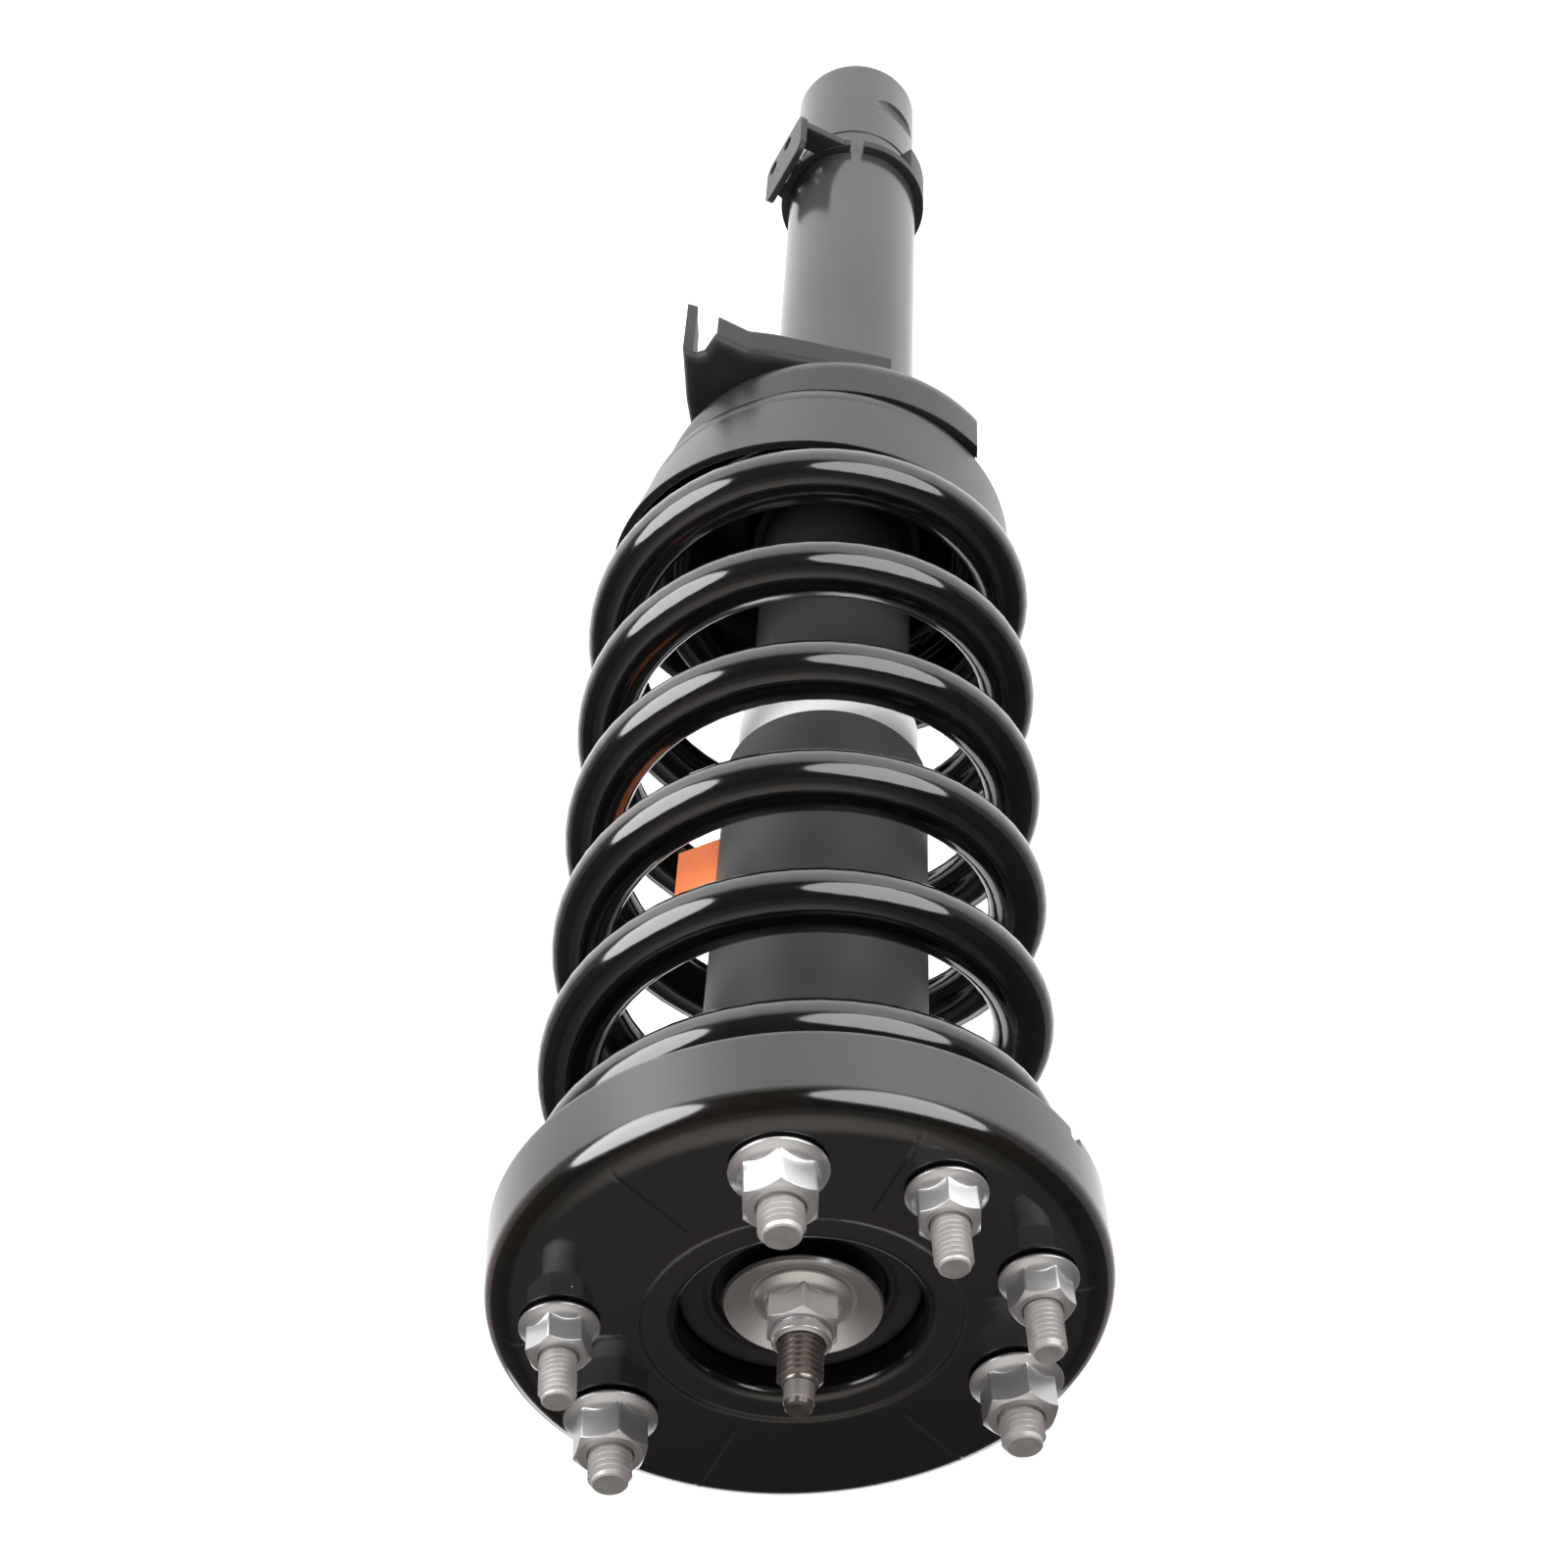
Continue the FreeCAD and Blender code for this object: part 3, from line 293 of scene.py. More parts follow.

# %% Edge wear and painted glint: a paler line where the rounded surface turns away from the true one
wear_and_glint, into, out = new_group("edge_wear_and_glint", {"Amount": 1.0}, ["Mask"], ("Where", "Rounded"))
true_way = wear_and_glint.nodes.new("ShaderNodeNewGeometry")
along = wear_and_glint.nodes.new("ShaderNodeVectorMath")
along.operation = "DOT_PRODUCT"
wear_and_glint.links.new(into["Rounded"], along.inputs[0])
wear_and_glint.links.new(true_way.outputs["Normal"], along.inputs[1])
bend = calc(wear_and_glint, "MULTIPLY", calc(wear_and_glint, "SUBTRACT", 1.0, along.outputs["Value"]), 6.0, clamp=True)
patchy = calc(wear_and_glint, "MULTIPLY", noise(wear_and_glint, into["Where"], 420.0), into["Amount"])
wear_and_glint.links.new(calc(wear_and_glint, "MULTIPLY", bend, patchy, clamp=True), out["Mask"])
print("group:", wear_and_glint.name)

# %% [markdown]
# ## How a finish is put together
#
# Every finish on the strut is built from the same few nodes: the place on the
# piece, the grain, a colour that drifts a little, a bump, and edges rounded by
# a Bevel node, because pressed and turned steel has no knife edges. One helper
# lays those out. What makes a finish its own is laid over it, cell by cell.


# %% A helper for finishes
class Finish:
    """A material with grain, bump and rounded edges, and the sockets that later layers need.

    Its colour drifts between dark and light, and its roughness by spread about gloss. Relief and
    edge are millimetres, and fine and slow are the scales of the two noises in its grain.
    """

    def __init__(self, name, dark, light, *, gloss, spread, relief, fine, slow, edge, metallic=0.0):
        self.material = bpy.data.materials.new(name)
        self.material.use_nodes = True
        self.tree = self.material.node_tree
        self.shader = self.tree.nodes["Principled BSDF"].inputs
        self.shader["Metallic"].default_value = metallic
        self.where = self.tree.nodes.new("ShaderNodeTexCoord").outputs["Object"]
        self.rounded = self.tree.nodes.new("ShaderNodeBevel")
        self.rounded.samples = 4
        self.rounded.inputs["Radius"].default_value = edge * MM
        made = self.effect(
            grain, Fine_Scale=fine, Slow_Scale=slow, Gloss=gloss, Gloss_Spread=spread)
        self.colour = self.mix_colour(made.outputs["Tone"], (*dark, 1), (*light, 1))
        self.rough = made.outputs["Roughness"]
        self.bump = self.tree.nodes.new("ShaderNodeBump")
        self.bump.inputs["Distance"].default_value = relief * MM
        self.tree.links.new(made.outputs["Relief"], self.bump.inputs["Height"])
        if edge > 0:
            self.tree.links.new(self.rounded.outputs["Normal"], self.bump.inputs["Normal"])
        self.normal = self.bump.outputs["Normal"]

    def effect(self, group, **values):
        """Places a shared effect in the finish, with its own values."""
        node = self.tree.nodes.new("ShaderNodeGroup")
        node.node_tree = group
        self.tree.links.new(self.where, node.inputs["Where"])
        for label, value in values.items():
            node.inputs[label.replace("_", " ")].default_value = value
        return node

    def mix(self, mask, under, over, first, result):
        """A Mix node. Its number sockets start at 2 and its colour sockets at 6."""
        node = self.tree.nodes.new("ShaderNodeMix")
        if first == 6:
            node.data_type = "RGBA"
        for value, at in ((mask, 0), (under, first), (over, first + 1)):
            plug(self.tree, value, node.inputs[at])
        return node.outputs[result]

    def mix_colour(self, mask, under, over):
        return self.mix(mask, under, over, first=6, result=2)

    def lay_over(self, mask, colour, gloss=None):
        """Another colour, and another roughness, where a mask says so."""
        self.colour = self.mix_colour(mask, self.colour, (*colour, 1))
        if gloss is not None:
            self.rough = self.mix(mask, self.rough, gloss, first=2, result=0)

    def chip(self, scale, size, share):
        """Rare small chips that show grey primer."""
        spots = self.effect(chips, Scale=scale, Size=size, Share=share)
        self.lay_over(spots.outputs["Mask"], (0.40, 0.39, 0.38), 0.6)

    def wear_and_glint_edges(self, amount, colour):
        """A paler, patchy line along the rounded edges: partly rubbed finish, partly a painted
        highlight.
        """
        node = self.effect(wear_and_glint, Amount=amount)
        self.tree.links.new(self.rounded.outputs["Normal"], node.inputs["Rounded"])
        self.lay_over(node.outputs["Mask"], colour)

    def done(self, *names):
        """Links the finish to its shader and gives it to the CAD nodes that are named."""
        self.tree.links.new(self.colour, self.shader["Base Color"])
        self.tree.links.new(self.rough, self.shader["Roughness"])
        self.tree.links.new(self.normal, self.shader["Normal"])
        for name in names:
            nodes[name].data.materials.clear()
            nodes[name].data.materials.append(self.material)
        print("finish %s on %d nodes" % (self.material.name, len(names)))
        return self.material


# %% [markdown]
# ## Gloss black paint
#
# The spring is powder coated. The coat is deep black and nearly a mirror, so
# its colour hardly matters beside its gloss: a low roughness that drifts a
# little, and a shallow orange peel a few millimetres wide. A few chips show
# pale primer.

# %% Gloss black
finish = Finish(
    "gloss_black_paint", (0.0035, 0.0035, 0.0035), (0.0065, 0.0062, 0.006),
    gloss=0.10, spread=0.02, relief=0.006, fine=240.0, slow=30.0, edge=0.6)
finish.shader["Coat Weight"].default_value = 0.4
finish.shader["Coat Roughness"].default_value = 0.05
finish.chip(75.0, 0.09, 0.05)
# The paler edges are partly rubbed paint and partly a painted highlight.
finish.wear_and_glint_edges(0.3, (0.10, 0.095, 0.09))
gloss_black = finish.done()

# %% [markdown]
# ## The mount plate's creases
#
# When the plate was pressed, six faint radial creases stayed between its neck
# and its shoulder. They only show where they break a reflection, so they belong
# in the bump of the plate's own paint. The Mapping node turns the piece's
# coordinates square to the leaning plate, and each crease is a thin ramp beside
# a ray from the plate's centre.

# %% Crease group
LEAN_ABOUT_Y, LEAN_ABOUT_X = math.radians(-4.6), math.radians(1.7)
PLATE_LEAN = Matrix.Rotation(LEAN_ABOUT_Y, 3, "Y") @ Matrix.Rotation(LEAN_ABOUT_X, 3, "X")
CREASES_AT = (2.2, 67.0, 124.0, 187.7, 247.0, 306.4)
CREASE_FROM, CREASE_TO, CREASE_FADE = 0.046, 0.078, 0.004

creases, into, out = new_group("plate_creases", {"Width": 0.0011}, ["Height"])
split = creases.nodes.new("ShaderNodeSeparateXYZ")
creases.links.new(into["Where"], split.inputs[0])
x, y = split.outputs["X"], split.outputs["Y"]
total, fade = 0.0, 1.0 / CREASE_FADE
for angle in CREASES_AT:
    c, s = math.cos(math.radians(angle)), math.sin(math.radians(angle))
    outward = calc(creases, "MULTIPLY_ADD", x, c, calc(creases, "MULTIPLY", y, s))
    across = calc(creases, "MULTIPLY_ADD", x, s, calc(creases, "MULTIPLY", y, -c))
    aside = calc(creases, "DIVIDE", calc(creases, "ABSOLUTE", across), into["Width"])
    near = calc(creases, "SUBTRACT", 1.0, aside, clamp=True)
    begins = calc(creases, "MULTIPLY_ADD", outward, fade, -CREASE_FROM * fade, clamp=True)
    ends = calc(creases, "MULTIPLY_ADD", outward, -fade, CREASE_TO * fade, clamp=True)
    line = calc(creases, "MULTIPLY", near, calc(creases, "MULTIPLY", begins, ends))
    total = calc(creases, "ADD", line, total)
creases.links.new(total, out["Height"])
print("creases:", len(CREASES_AT))

# %% Plate paint
finish = Finish(
    "mount_plate_paint", (0.0025, 0.0023, 0.002), (0.0075, 0.0062, 0.005),
    gloss=0.11, spread=0.03, relief=0.008, fine=220.0, slow=14.0, edge=1.4)
finish.shader["Coat Weight"].default_value = 0.6
finish.shader["Coat Roughness"].default_value = 0.04
square = finish.tree.nodes.new("ShaderNodeMapping")
square.inputs["Rotation"].default_value = PLATE_LEAN.inverted().to_euler()
finish.tree.links.new(finish.where, square.inputs["Vector"])
pressed = finish.effect(creases)
finish.tree.links.new(square.outputs["Vector"], pressed.inputs["Where"])
dent = finish.tree.nodes.new("ShaderNodeBump")
dent.invert = True
dent.inputs["Distance"].default_value = 0.22 * MM
finish.tree.links.new(pressed.outputs["Height"], dent.inputs["Height"])
finish.tree.links.new(finish.normal, dent.inputs["Normal"])
finish.normal = dent.outputs["Normal"]
finish.chip(70.0, 0.10, 0.04)
# The paler edges are partly rubbed paint and partly a painted highlight.
finish.wear_and_glint_edges(0.6, (0.16, 0.15, 0.145))
finish.done("mount_plate")

# %% [markdown]
# ## Satin black paint
#
# The spring's seat, its support cup, the hose bracket and the tube were dipped
# in satin black. It is a dark grey rather than black, with a fine tooth that
# spreads every highlight wide. The bracket, the collar and its tab shine less,
# and the drawn tube looks a shade lighter.

# %% Satin black
# The paler satin edges are partly rubbed paint and partly a painted highlight.
SATIN_EDGE_WEAR_AND_GLINT = (0.12, 0.118, 0.115)

finish = Finish(
    "satin_black_paint", (0.013, 0.013, 0.013), (0.023, 0.0225, 0.022),
    gloss=0.30, spread=0.05, relief=0.02, fine=1400.0, slow=22.0, edge=0.9)
finish.shader["Specular IOR Level"].default_value = 0.36
finish.wear_and_glint_edges(0.5, SATIN_EDGE_WEAR_AND_GLINT)
finish.chip(80.0, 0.08, 0.02)
finish.done("spring_seat", "support_cup", "bush_retainer")

# %% Bracket and tube
finish = Finish(
    "bracket_paint", (0.015, 0.015, 0.015), (0.026, 0.0255, 0.025),
    gloss=0.38, spread=0.05, relief=0.02, fine=1400.0, slow=22.0, edge=1.1)
finish.shader["Specular IOR Level"].default_value = 0.22
finish.wear_and_glint_edges(0.5, SATIN_EDGE_WEAR_AND_GLINT)
finish.done("hose_bracket", "locating_collar", "clip_tab")

finish = Finish(
    "tube_satin_paint", (0.030, 0.029, 0.028), (0.045, 0.043, 0.042),
    gloss=0.17, spread=0.03, relief=0.008, fine=1200.0, slow=14.0, edge=0.6)
finish.wear_and_glint_edges(0.3, SATIN_EDGE_WEAR_AND_GLINT)
finish.chip(70.0, 0.07, 0.015)
finish.done("damper_tube")

# %% [markdown]
# ## Zinc plate and plain steel
#
# The flange nuts, the dished washer, the rod's nut and the tube's cap are
# bright zinc: metal, with a soft grain that is never quite even. The studs'
# plating is duller and warmer. The rod is ground chrome, and the end that
# carries the nut is bare steel, browned by its heat treatment.

# %% Zinc and steel
finish = Finish(
    "bright_zinc", (0.60, 0.60, 0.61), (0.70, 0.70, 0.70),
    metallic=0.80, gloss=0.29, spread=0.04, relief=0.0015, fine=1800.0, slow=60.0, edge=0.35)
# The near-white line along the edges of the nuts, washers and cap is a painted highlight.
finish.wear_and_glint_edges(0.8, (0.92, 0.92, 0.93))
bright_zinc = finish.done("upper_cup_washer", "lower_washer", "bump_cap")

finish = Finish(
    "dull_zinc", (0.42, 0.41, 0.395), (0.55, 0.54, 0.52),
    metallic=0.35, gloss=0.45, spread=0.08, relief=0.02, fine=1600.0, slow=240.0, edge=0.15)
dull_zinc = finish.done()

finish = Finish(
    "plain_steel", (0.38, 0.38, 0.39), (0.50, 0.50, 0.51),
    metallic=1.0, gloss=0.32, spread=0.08, relief=0.02, fine=1100.0, slow=60.0, edge=0.4)
finish.done("bush_sleeve", "piston", "rebound_stop", "piston_nut", "inner_cylinder",
            "base_valve", "rod_guide")

# %% The rod's three finishes
finish = Finish(
    "ground_chrome", (0.70, 0.71, 0.73), (0.80, 0.81, 0.83),
    metallic=1.0, gloss=0.12, spread=0.03, relief=0.003, fine=2400.0, slow=40.0, edge=0.0)
ground_chrome = finish.done()
finish = Finish(
    "browned_steel", (0.15, 0.13, 0.12), (0.24, 0.215, 0.20),
    metallic=0.85, gloss=0.30, spread=0.06, relief=0.003, fine=1500.0, slow=300.0, edge=0.15)
browned_steel = finish.done()
finish = Finish(
    "turned_pin", (0.52, 0.48, 0.46), (0.60, 0.56, 0.53),
    metallic=0.8, gloss=0.27, spread=0.03, relief=0.001, fine=1500.0, slow=60.0, edge=0.0)
turned_pin = finish.done()

# %% [markdown]
# ## Rubber, foam, plastic and the tag
#
# Moulded rubber is black with a matt skin. The bump stop is foamed, with pores
# that a cell pattern gives as small dents. The dust cover is a satin black
# plastic, and the tag is a plain orange film.

# %% Soft finishes
finish = Finish(
    "moulded_rubber", (0.010, 0.010, 0.010), (0.021, 0.0205, 0.020),
    gloss=0.60, spread=0.08, relief=0.04, fine=800.0, slow=45.0, edge=0.6)
rubber = finish.done()

finish = Finish(
    "foamed_polyurethane", (0.12, 0.11, 0.09), (0.22, 0.20, 0.165),
    gloss=0.85, spread=0.05, relief=0.08, fine=600.0, slow=60.0, edge=0.6)
pores = finish.tree.nodes.new("ShaderNodeTexVoronoi")
pores.inputs["Scale"].default_value = 900.0
finish.tree.links.new(finish.where, pores.inputs["Vector"])
finish.tree.links.new(pores.outputs["Distance"], finish.bump.inputs["Height"])
foam = finish.done()

finish = Finish(
    "satin_plastic", (0.016, 0.016, 0.016), (0.025, 0.0245, 0.024),
    gloss=0.46, spread=0.05, relief=0.02, fine=1000.0, slow=12.0, edge=0.5)
finish.done("dust_cover", "piston_band")

finish = Finish(
    "orange_film", (0.80, 0.165, 0.032), (0.90, 0.21, 0.048),
    gloss=0.48, spread=0.05, relief=0.03, fine=900.0, slow=70.0, edge=0.0)
finish.done("tag")

# %% [markdown]
# ## Tools for turned pieces
#
# A turned or moulded ring starts as a circle. It is extruded and resized ring
# by ring along the piece's profile, as a lathe tool would follow it, and the
# last ring closes on the first. A bar starts as a filled circle instead, and
# the fill moves along as its end face.


# %% A lathe
def only(piece):
    """Selects one piece and nothing else."""
    bpy.ops.object.select_all(action="DESELECT")
    piece.select_set(True)
    bpy.context.view_layer.objects.active = piece


def lathe(name, profile, sides=96, centre=(0.0, 0.0), bar=False):
    """A closed turned form through (radius, height) points in millimetres."""
    bpy.ops.object.select_all(action="DESELECT")
    radius, height = profile[0]
    x, y = centre[0] * MM, centre[1] * MM
    fill = "NGON" if bar else "NOTHING"
    bpy.ops.mesh.primitive_circle_add(
        vertices=sides, radius=radius * MM, location=(x, y, height * MM), fill_type=fill)
    piece = bpy.context.object
    piece.name = piece.data.name = name
    bpy.ops.object.transform_apply(location=True, rotation=True, scale=True)
    bpy.ops.object.mode_set(mode="EDIT")
    bpy.ops.mesh.select_all(action="SELECT")
    for next_radius, next_height in profile[1:] if bar else profile[1:] + profile[:1]:
        step = (0, 0, (next_height - height) * MM)
        bpy.ops.mesh.extrude_region_move(TRANSFORM_OT_translate={"value": step})
        share = next_radius / radius
        middle = (x, y, next_height * MM)
        bpy.ops.transform.resize(value=(share, share, 1.0), center_override=middle)
        radius, height = next_radius, next_height
    bpy.ops.mesh.select_all(action="SELECT")
    if not bar:
        bpy.ops.mesh.remove_doubles(threshold=1e-6)
    bpy.ops.mesh.normals_make_consistent(inside=False)
    bpy.ops.object.mode_set(mode="OBJECT")
    return piece


def rounded(piece, width, segments=3, angle=30.0):
    """Rounds a moulding's corners with a Bevel modifier, and applies it."""
    modifier = piece.modifiers.new("round", "BEVEL")
    modifier.width = width * MM
    modifier.segments = segments
    modifier.limit_method = "ANGLE"
    modifier.angle_limit = math.radians(angle)
    only(piece)
    bpy.ops.object.modifier_apply(modifier="round")


def carve(piece, tool, operation):
    """Cuts, joins or keeps the shared room of two pieces with a Boolean, and drops the tool."""
    cut = piece.modifiers.new("cut", "BOOLEAN")
    cut.operation = operation
    cut.object = tool
    only(piece)
    bpy.ops.object.modifier_apply(modifier="cut")
    bpy.data.objects.remove(tool)


def hand_over(piece, material, slot, body, *replaced, smooth=45.0):
    """Smooths a finished piece, gives it its material and body, and hides the nodes it stands for.
    The slot is not used.
    """
    only(piece)
    bpy.ops.object.shade_smooth_by_angle(angle=math.radians(smooth))
    if material:
        piece.data.materials.clear()
        piece.data.materials.append(material)
    if body:
        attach(piece, body)
    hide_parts(*replaced)
    print("%s: %d faces" % (piece.name, len(piece.data.polygons)))


# %% [markdown]
# ## The coil spring
#
# The spring is one round bar wound hot on a mandrel. Its pitch closes at both
# ends, and its last turn is drawn in to fit the seat. The law below gives its
# height and radius against the turn. A curve through those places with a round
# bevel is the bar itself, made a mesh.

# %% The spring's law
WIRE_R, COIL_R, COIL_LOW_R = 8.7, 63.7, 51.0
PITCH, FRONT_PASS, TOP_COIL = 45.6, -44.2, -22.5
FULL_TURNS, LOW_RUN, LOW_CLOSING, LOW_FLAT = 5.0, 0.54, 0.85, 0.15
DRAW_FROM, DRAW, TOP_FLAT, SEAT_SHIFT = 0.2, 0.5, 0.12, 5.0
AXIS_AT, AXIS_LEAN = (3.1, 2.1), (-0.0167, 0.0150)
STEPS_PER_TURN = 56
CLOSING_TOP = 2.0 * (TOP_COIL - FRONT_PASS) / PITCH
FIRST_TURN = -(CLOSING_TOP + TOP_FLAT)
LAST_TURN = FULL_TURNS + LOW_RUN + LOW_CLOSING + LOW_FLAT


def wire_centre(turn):
    """The middle of the wire, with turns counted down from the first pass in front."""
    if turn < 0:
        u = min(-turn, CLOSING_TOP)
        z = FRONT_PASS + PITCH * u - 0.5 * PITCH * u * u / CLOSING_TOP
    else:
        v = min(max(turn - FULL_TURNS - LOW_RUN, 0.0), LOW_CLOSING)
        z = FRONT_PASS - PITCH * (min(turn, FULL_TURNS + LOW_RUN) + v - 0.5 * v * v / LOW_CLOSING)
    share = min(max((turn - FULL_TURNS - DRAW_FROM) / DRAW, 0.0), 1.0)
    share = share * share * (3.0 - 2.0 * share)
    radius = COIL_R + (COIL_LOW_R - COIL_R) * share
    x, y = AXIS_AT[0] + AXIS_LEAN[0] * z, AXIS_AT[1] + AXIS_LEAN[1] * z
    x, y = x + (SEAT_SHIFT - x) * share, y - y * share
    a = math.radians(-90.0 - 360.0 * turn)
    return Vector((x + radius * math.cos(a), y + radius * math.sin(a), z)) * MM


print("turns of the spring: %.2f" % (LAST_TURN - FIRST_TURN))

# %% Wind the spring
count = int((LAST_TURN - FIRST_TURN) * STEPS_PER_TURN)
line = bpy.data.curves.new("coil_line", "CURVE")
line.dimensions = "3D"
run = line.splines.new("POLY")
run.points.add(count)
for i, point in enumerate(run.points):
    point.co = (*wire_centre(FIRST_TURN + (LAST_TURN - FIRST_TURN) * i / count), 1.0)
line.bevel_depth = WIRE_R * MM
line.bevel_resolution = 10
line.use_fill_caps = True
spring = bpy.data.objects.new("wound_spring", line)
bpy.context.scene.collection.objects.link(spring)
only(spring)
bpy.ops.object.convert(target="MESH")
spring = bpy.context.object
bpy.ops.object.mode_set(mode="EDIT")
bpy.ops.mesh.select_all(action="SELECT")
bpy.ops.mesh.remove_doubles(threshold=1e-6)
bpy.ops.mesh.normals_make_consistent(inside=False)
bpy.ops.object.mode_set(mode="OBJECT")
rounded(spring, 0.8, 3, 60.0)
hand_over(spring, gloss_black, "gloss_black", "rod", "coil_spring")
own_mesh(spring)

# %% [markdown]
# ## Threads
#
# A rolled thread is a ridge wound round the bar. One tooth of it is a triangle
# that stands beside the axis. The Screw modifier winds that tooth up the shank
# at the thread's pitch, and the shank under it is turned to the thread's root.
# The last turns are drawn in to the cone of the bar's chamfer.


# %% Threaded bars
THREAD_DEPTH, TOOTH_HALF, TOOTH_SUNK = 0.60, 0.54, 0.1  # as shares of the pitch


def threaded_bar(name, profile, crest, pitch, low, high, cone_from, sides=40):
    """A turned bar with a thread from low to high, trimmed by a cone of 45 degrees."""
    bar = lathe(name, profile, sides, bar=True)
    root = crest - THREAD_DEPTH * pitch
    bpy.ops.object.select_all(action="DESELECT")
    bpy.ops.mesh.primitive_circle_add(vertices=3, radius=MM)
    ridge = bpy.context.object
    foot = root - TOOTH_SUNK * pitch
    tooth = ((foot, -TOOTH_HALF), (crest, 0.0), (foot, TOOTH_HALF))
    for vertex, (radius, rise) in zip(ridge.data.vertices, tooth):
        vertex.co = (radius * MM, 0, (low + rise * pitch) * MM)
    wind = ridge.modifiers.new("wind", "SCREW")
    wind.axis = "Z"
    wind.screw_offset = pitch * MM
    wind.iterations = int((high - low) / pitch)
    wind.steps = wind.render_steps = sides
    bpy.ops.object.modifier_apply(modifier="wind")
    bpy.ops.object.mode_set(mode="EDIT")
    bpy.ops.mesh.select_all(action="SELECT")
    bpy.ops.mesh.remove_doubles(threshold=1e-7)
    bpy.ops.mesh.select_all(action="DESELECT")
    bpy.ops.mesh.select_non_manifold()
    bpy.ops.mesh.edge_face_add()
    bpy.ops.mesh.select_all(action="SELECT")
    bpy.ops.mesh.normals_make_consistent(inside=False)
    bpy.ops.object.mode_set(mode="OBJECT")
    for vertex in ridge.data.vertices:
        radius = math.hypot(vertex.co.x, vertex.co.y) / MM
        limit = max(crest - max(0.0, vertex.co.z / MM - cone_from), root - 0.3)
        if radius > limit:
            vertex.co.x, vertex.co.y = vertex.co.x * limit / radius, vertex.co.y * limit / radius
    only(bar)
    ridge.select_set(True)
    bpy.ops.object.join()
    return bar


# %% [markdown]
# ## The mount's studs
#
# Six headed studs stand out of the plate on one circle: three large ones and
# three small ones. One of each is made on the axis, then copied round the
# circle and turned with the leaning plate, each copy with a mesh of its own.


# %% Round the mount
STUD_CIRCLE_R, LARGE_STUD_R, SMALL_STUD_R = 62.0, 5.9, 4.9
LARGE_AT, SMALL_AT = (-85.5, 34.5, 154.5), (-125.5, -165.5, -4.5)


def on_plate(angle, turn=0.0):
    """A place on the leaning plate's circle, turned about itself. Angles are in degrees."""
    a = math.radians(angle)
    out = Matrix.Translation(Vector((math.cos(a), math.sin(a), 0)) * STUD_CIRCLE_R * MM)
    return PLATE_LEAN.to_4x4() @ out @ Matrix.Rotation(math.radians(turn), 4, "Z")


def copies_on_plate(name, first, places):
    """A copy of a piece at each (angle, turn), each with a mesh of its own, joined as one."""
    copies = []
    for angle, turn in places:
        copy = first.copy()
        copy.data = first.data.copy()
        bpy.context.scene.collection.objects.link(copy)
        copy.data.transform(on_plate(angle, turn))
        copies.append(copy)
    bpy.data.objects.remove(first)
    only(copies[0])
    for copy in copies[1:]:
        copy.select_set(True)
    bpy.ops.object.join()
    joined = bpy.context.object
    joined.name = joined.data.name = name
    return joined


# %% Studs
def stud_set(name, radius, pitch, tip, angles, node):
    """Headed studs of one size, with the thread's end at the tip's height."""
    root = radius - THREAD_DEPTH * pitch
    profile = [
        (radius + 2.9, -5.2), (radius + 3.2, -4.9), (radius + 3.2, -3.0), (radius, -3.0),
        (radius, 6.0), (root, 6.0), (root, tip - 0.4), (root - 0.4, tip), (0.3 * root, tip)]
    first = threaded_bar(name, profile, radius, pitch, 6.0, tip - 0.2, tip - 1.3)
    studs = copies_on_plate(name, first, [(angle, 3.0 * angle) for angle in angles])
    hand_over(studs, dull_zinc, "stud_steel", "mount", node, smooth=32.0)


stud_set("large_threaded_studs", LARGE_STUD_R, 1.75, 21.5, LARGE_AT, "large_studs")
stud_set("small_threaded_studs", SMALL_STUD_R, 1.5, 24.0, SMALL_AT, "small_studs")

# %% [markdown]
# ## Flange nuts
#
# A flange nut is cold formed: a hexagon with chamfered corners on a coned
# flange, and the rod's nut has a thin collar that grips the thread. The hexagon
# is a bar of six sides with its corners rounded. A cone cuts its chamfer, the
# flange is turned and joined to it, and the bore goes through both. Each nut
# stopped where its torque was reached, so each one is turned its own way.


# %% Flange nuts
def flange_nut(name, across, height, flange, bore, low, collar=0.0):
    """One nut on the axis, in millimetres, with a corner towards +Y."""
    corner, half, top = across / math.sqrt(3.0), 0.5 * across, low + height
    nut = lathe(name, [(corner, low + 0.2), (corner, top)], 6, bar=True)
    rounded(nut, 0.45, 3, 40.0)
    core = 1.0
    cone = lathe("chamfer", [
        (corner + 1.0, low), (corner + 1.0, top - 1.9), (half - 0.5, top), (core, top)],
        72, bar=True)
    carve(nut, cone, "INTERSECT")
    foot = lathe("foot", [
        (flange - 0.25, low), (flange, low + 0.25), (flange, low + 0.8),
        (flange - 0.3, low + 1.1), (half + 1.7, low + 1.6), (half + 0.7, low + 2.3),
        (half - 0.6, low + 4.3), (core, low + 4.3)], 72, bar=True)
    carve(nut, foot, "UNION")
    end = top + collar
    if collar:
        ring = lathe("collar", [
            (7.1, top - 1.0), (7.1, top + 0.3), (7.7, top + 0.9), (7.8, end - 0.9),
            (7.1, end - 0.1), (6.8, end), (core, end)], 72, bar=True)
        carve(nut, ring, "UNION")
    drill = lathe("drill", [
        (bore, low - 1.0), (bore, end - 0.5), (bore + 0.8, end + 0.3), (core, end + 0.3)],
        48, bar=True)
    carve(nut, drill, "DIFFERENCE")
    return nut


def nut_set(name, first, angles, corners, node):
    """A nut on each stud, with one of its corners towards the direction given for it."""
    places = [(angle, corner - 90.0) for angle, corner in zip(angles, corners)]
    nuts = copies_on_plate(name, first, places)
    hand_over(nuts, bright_zinc, "zinc", "mount", node, smooth=32.0)


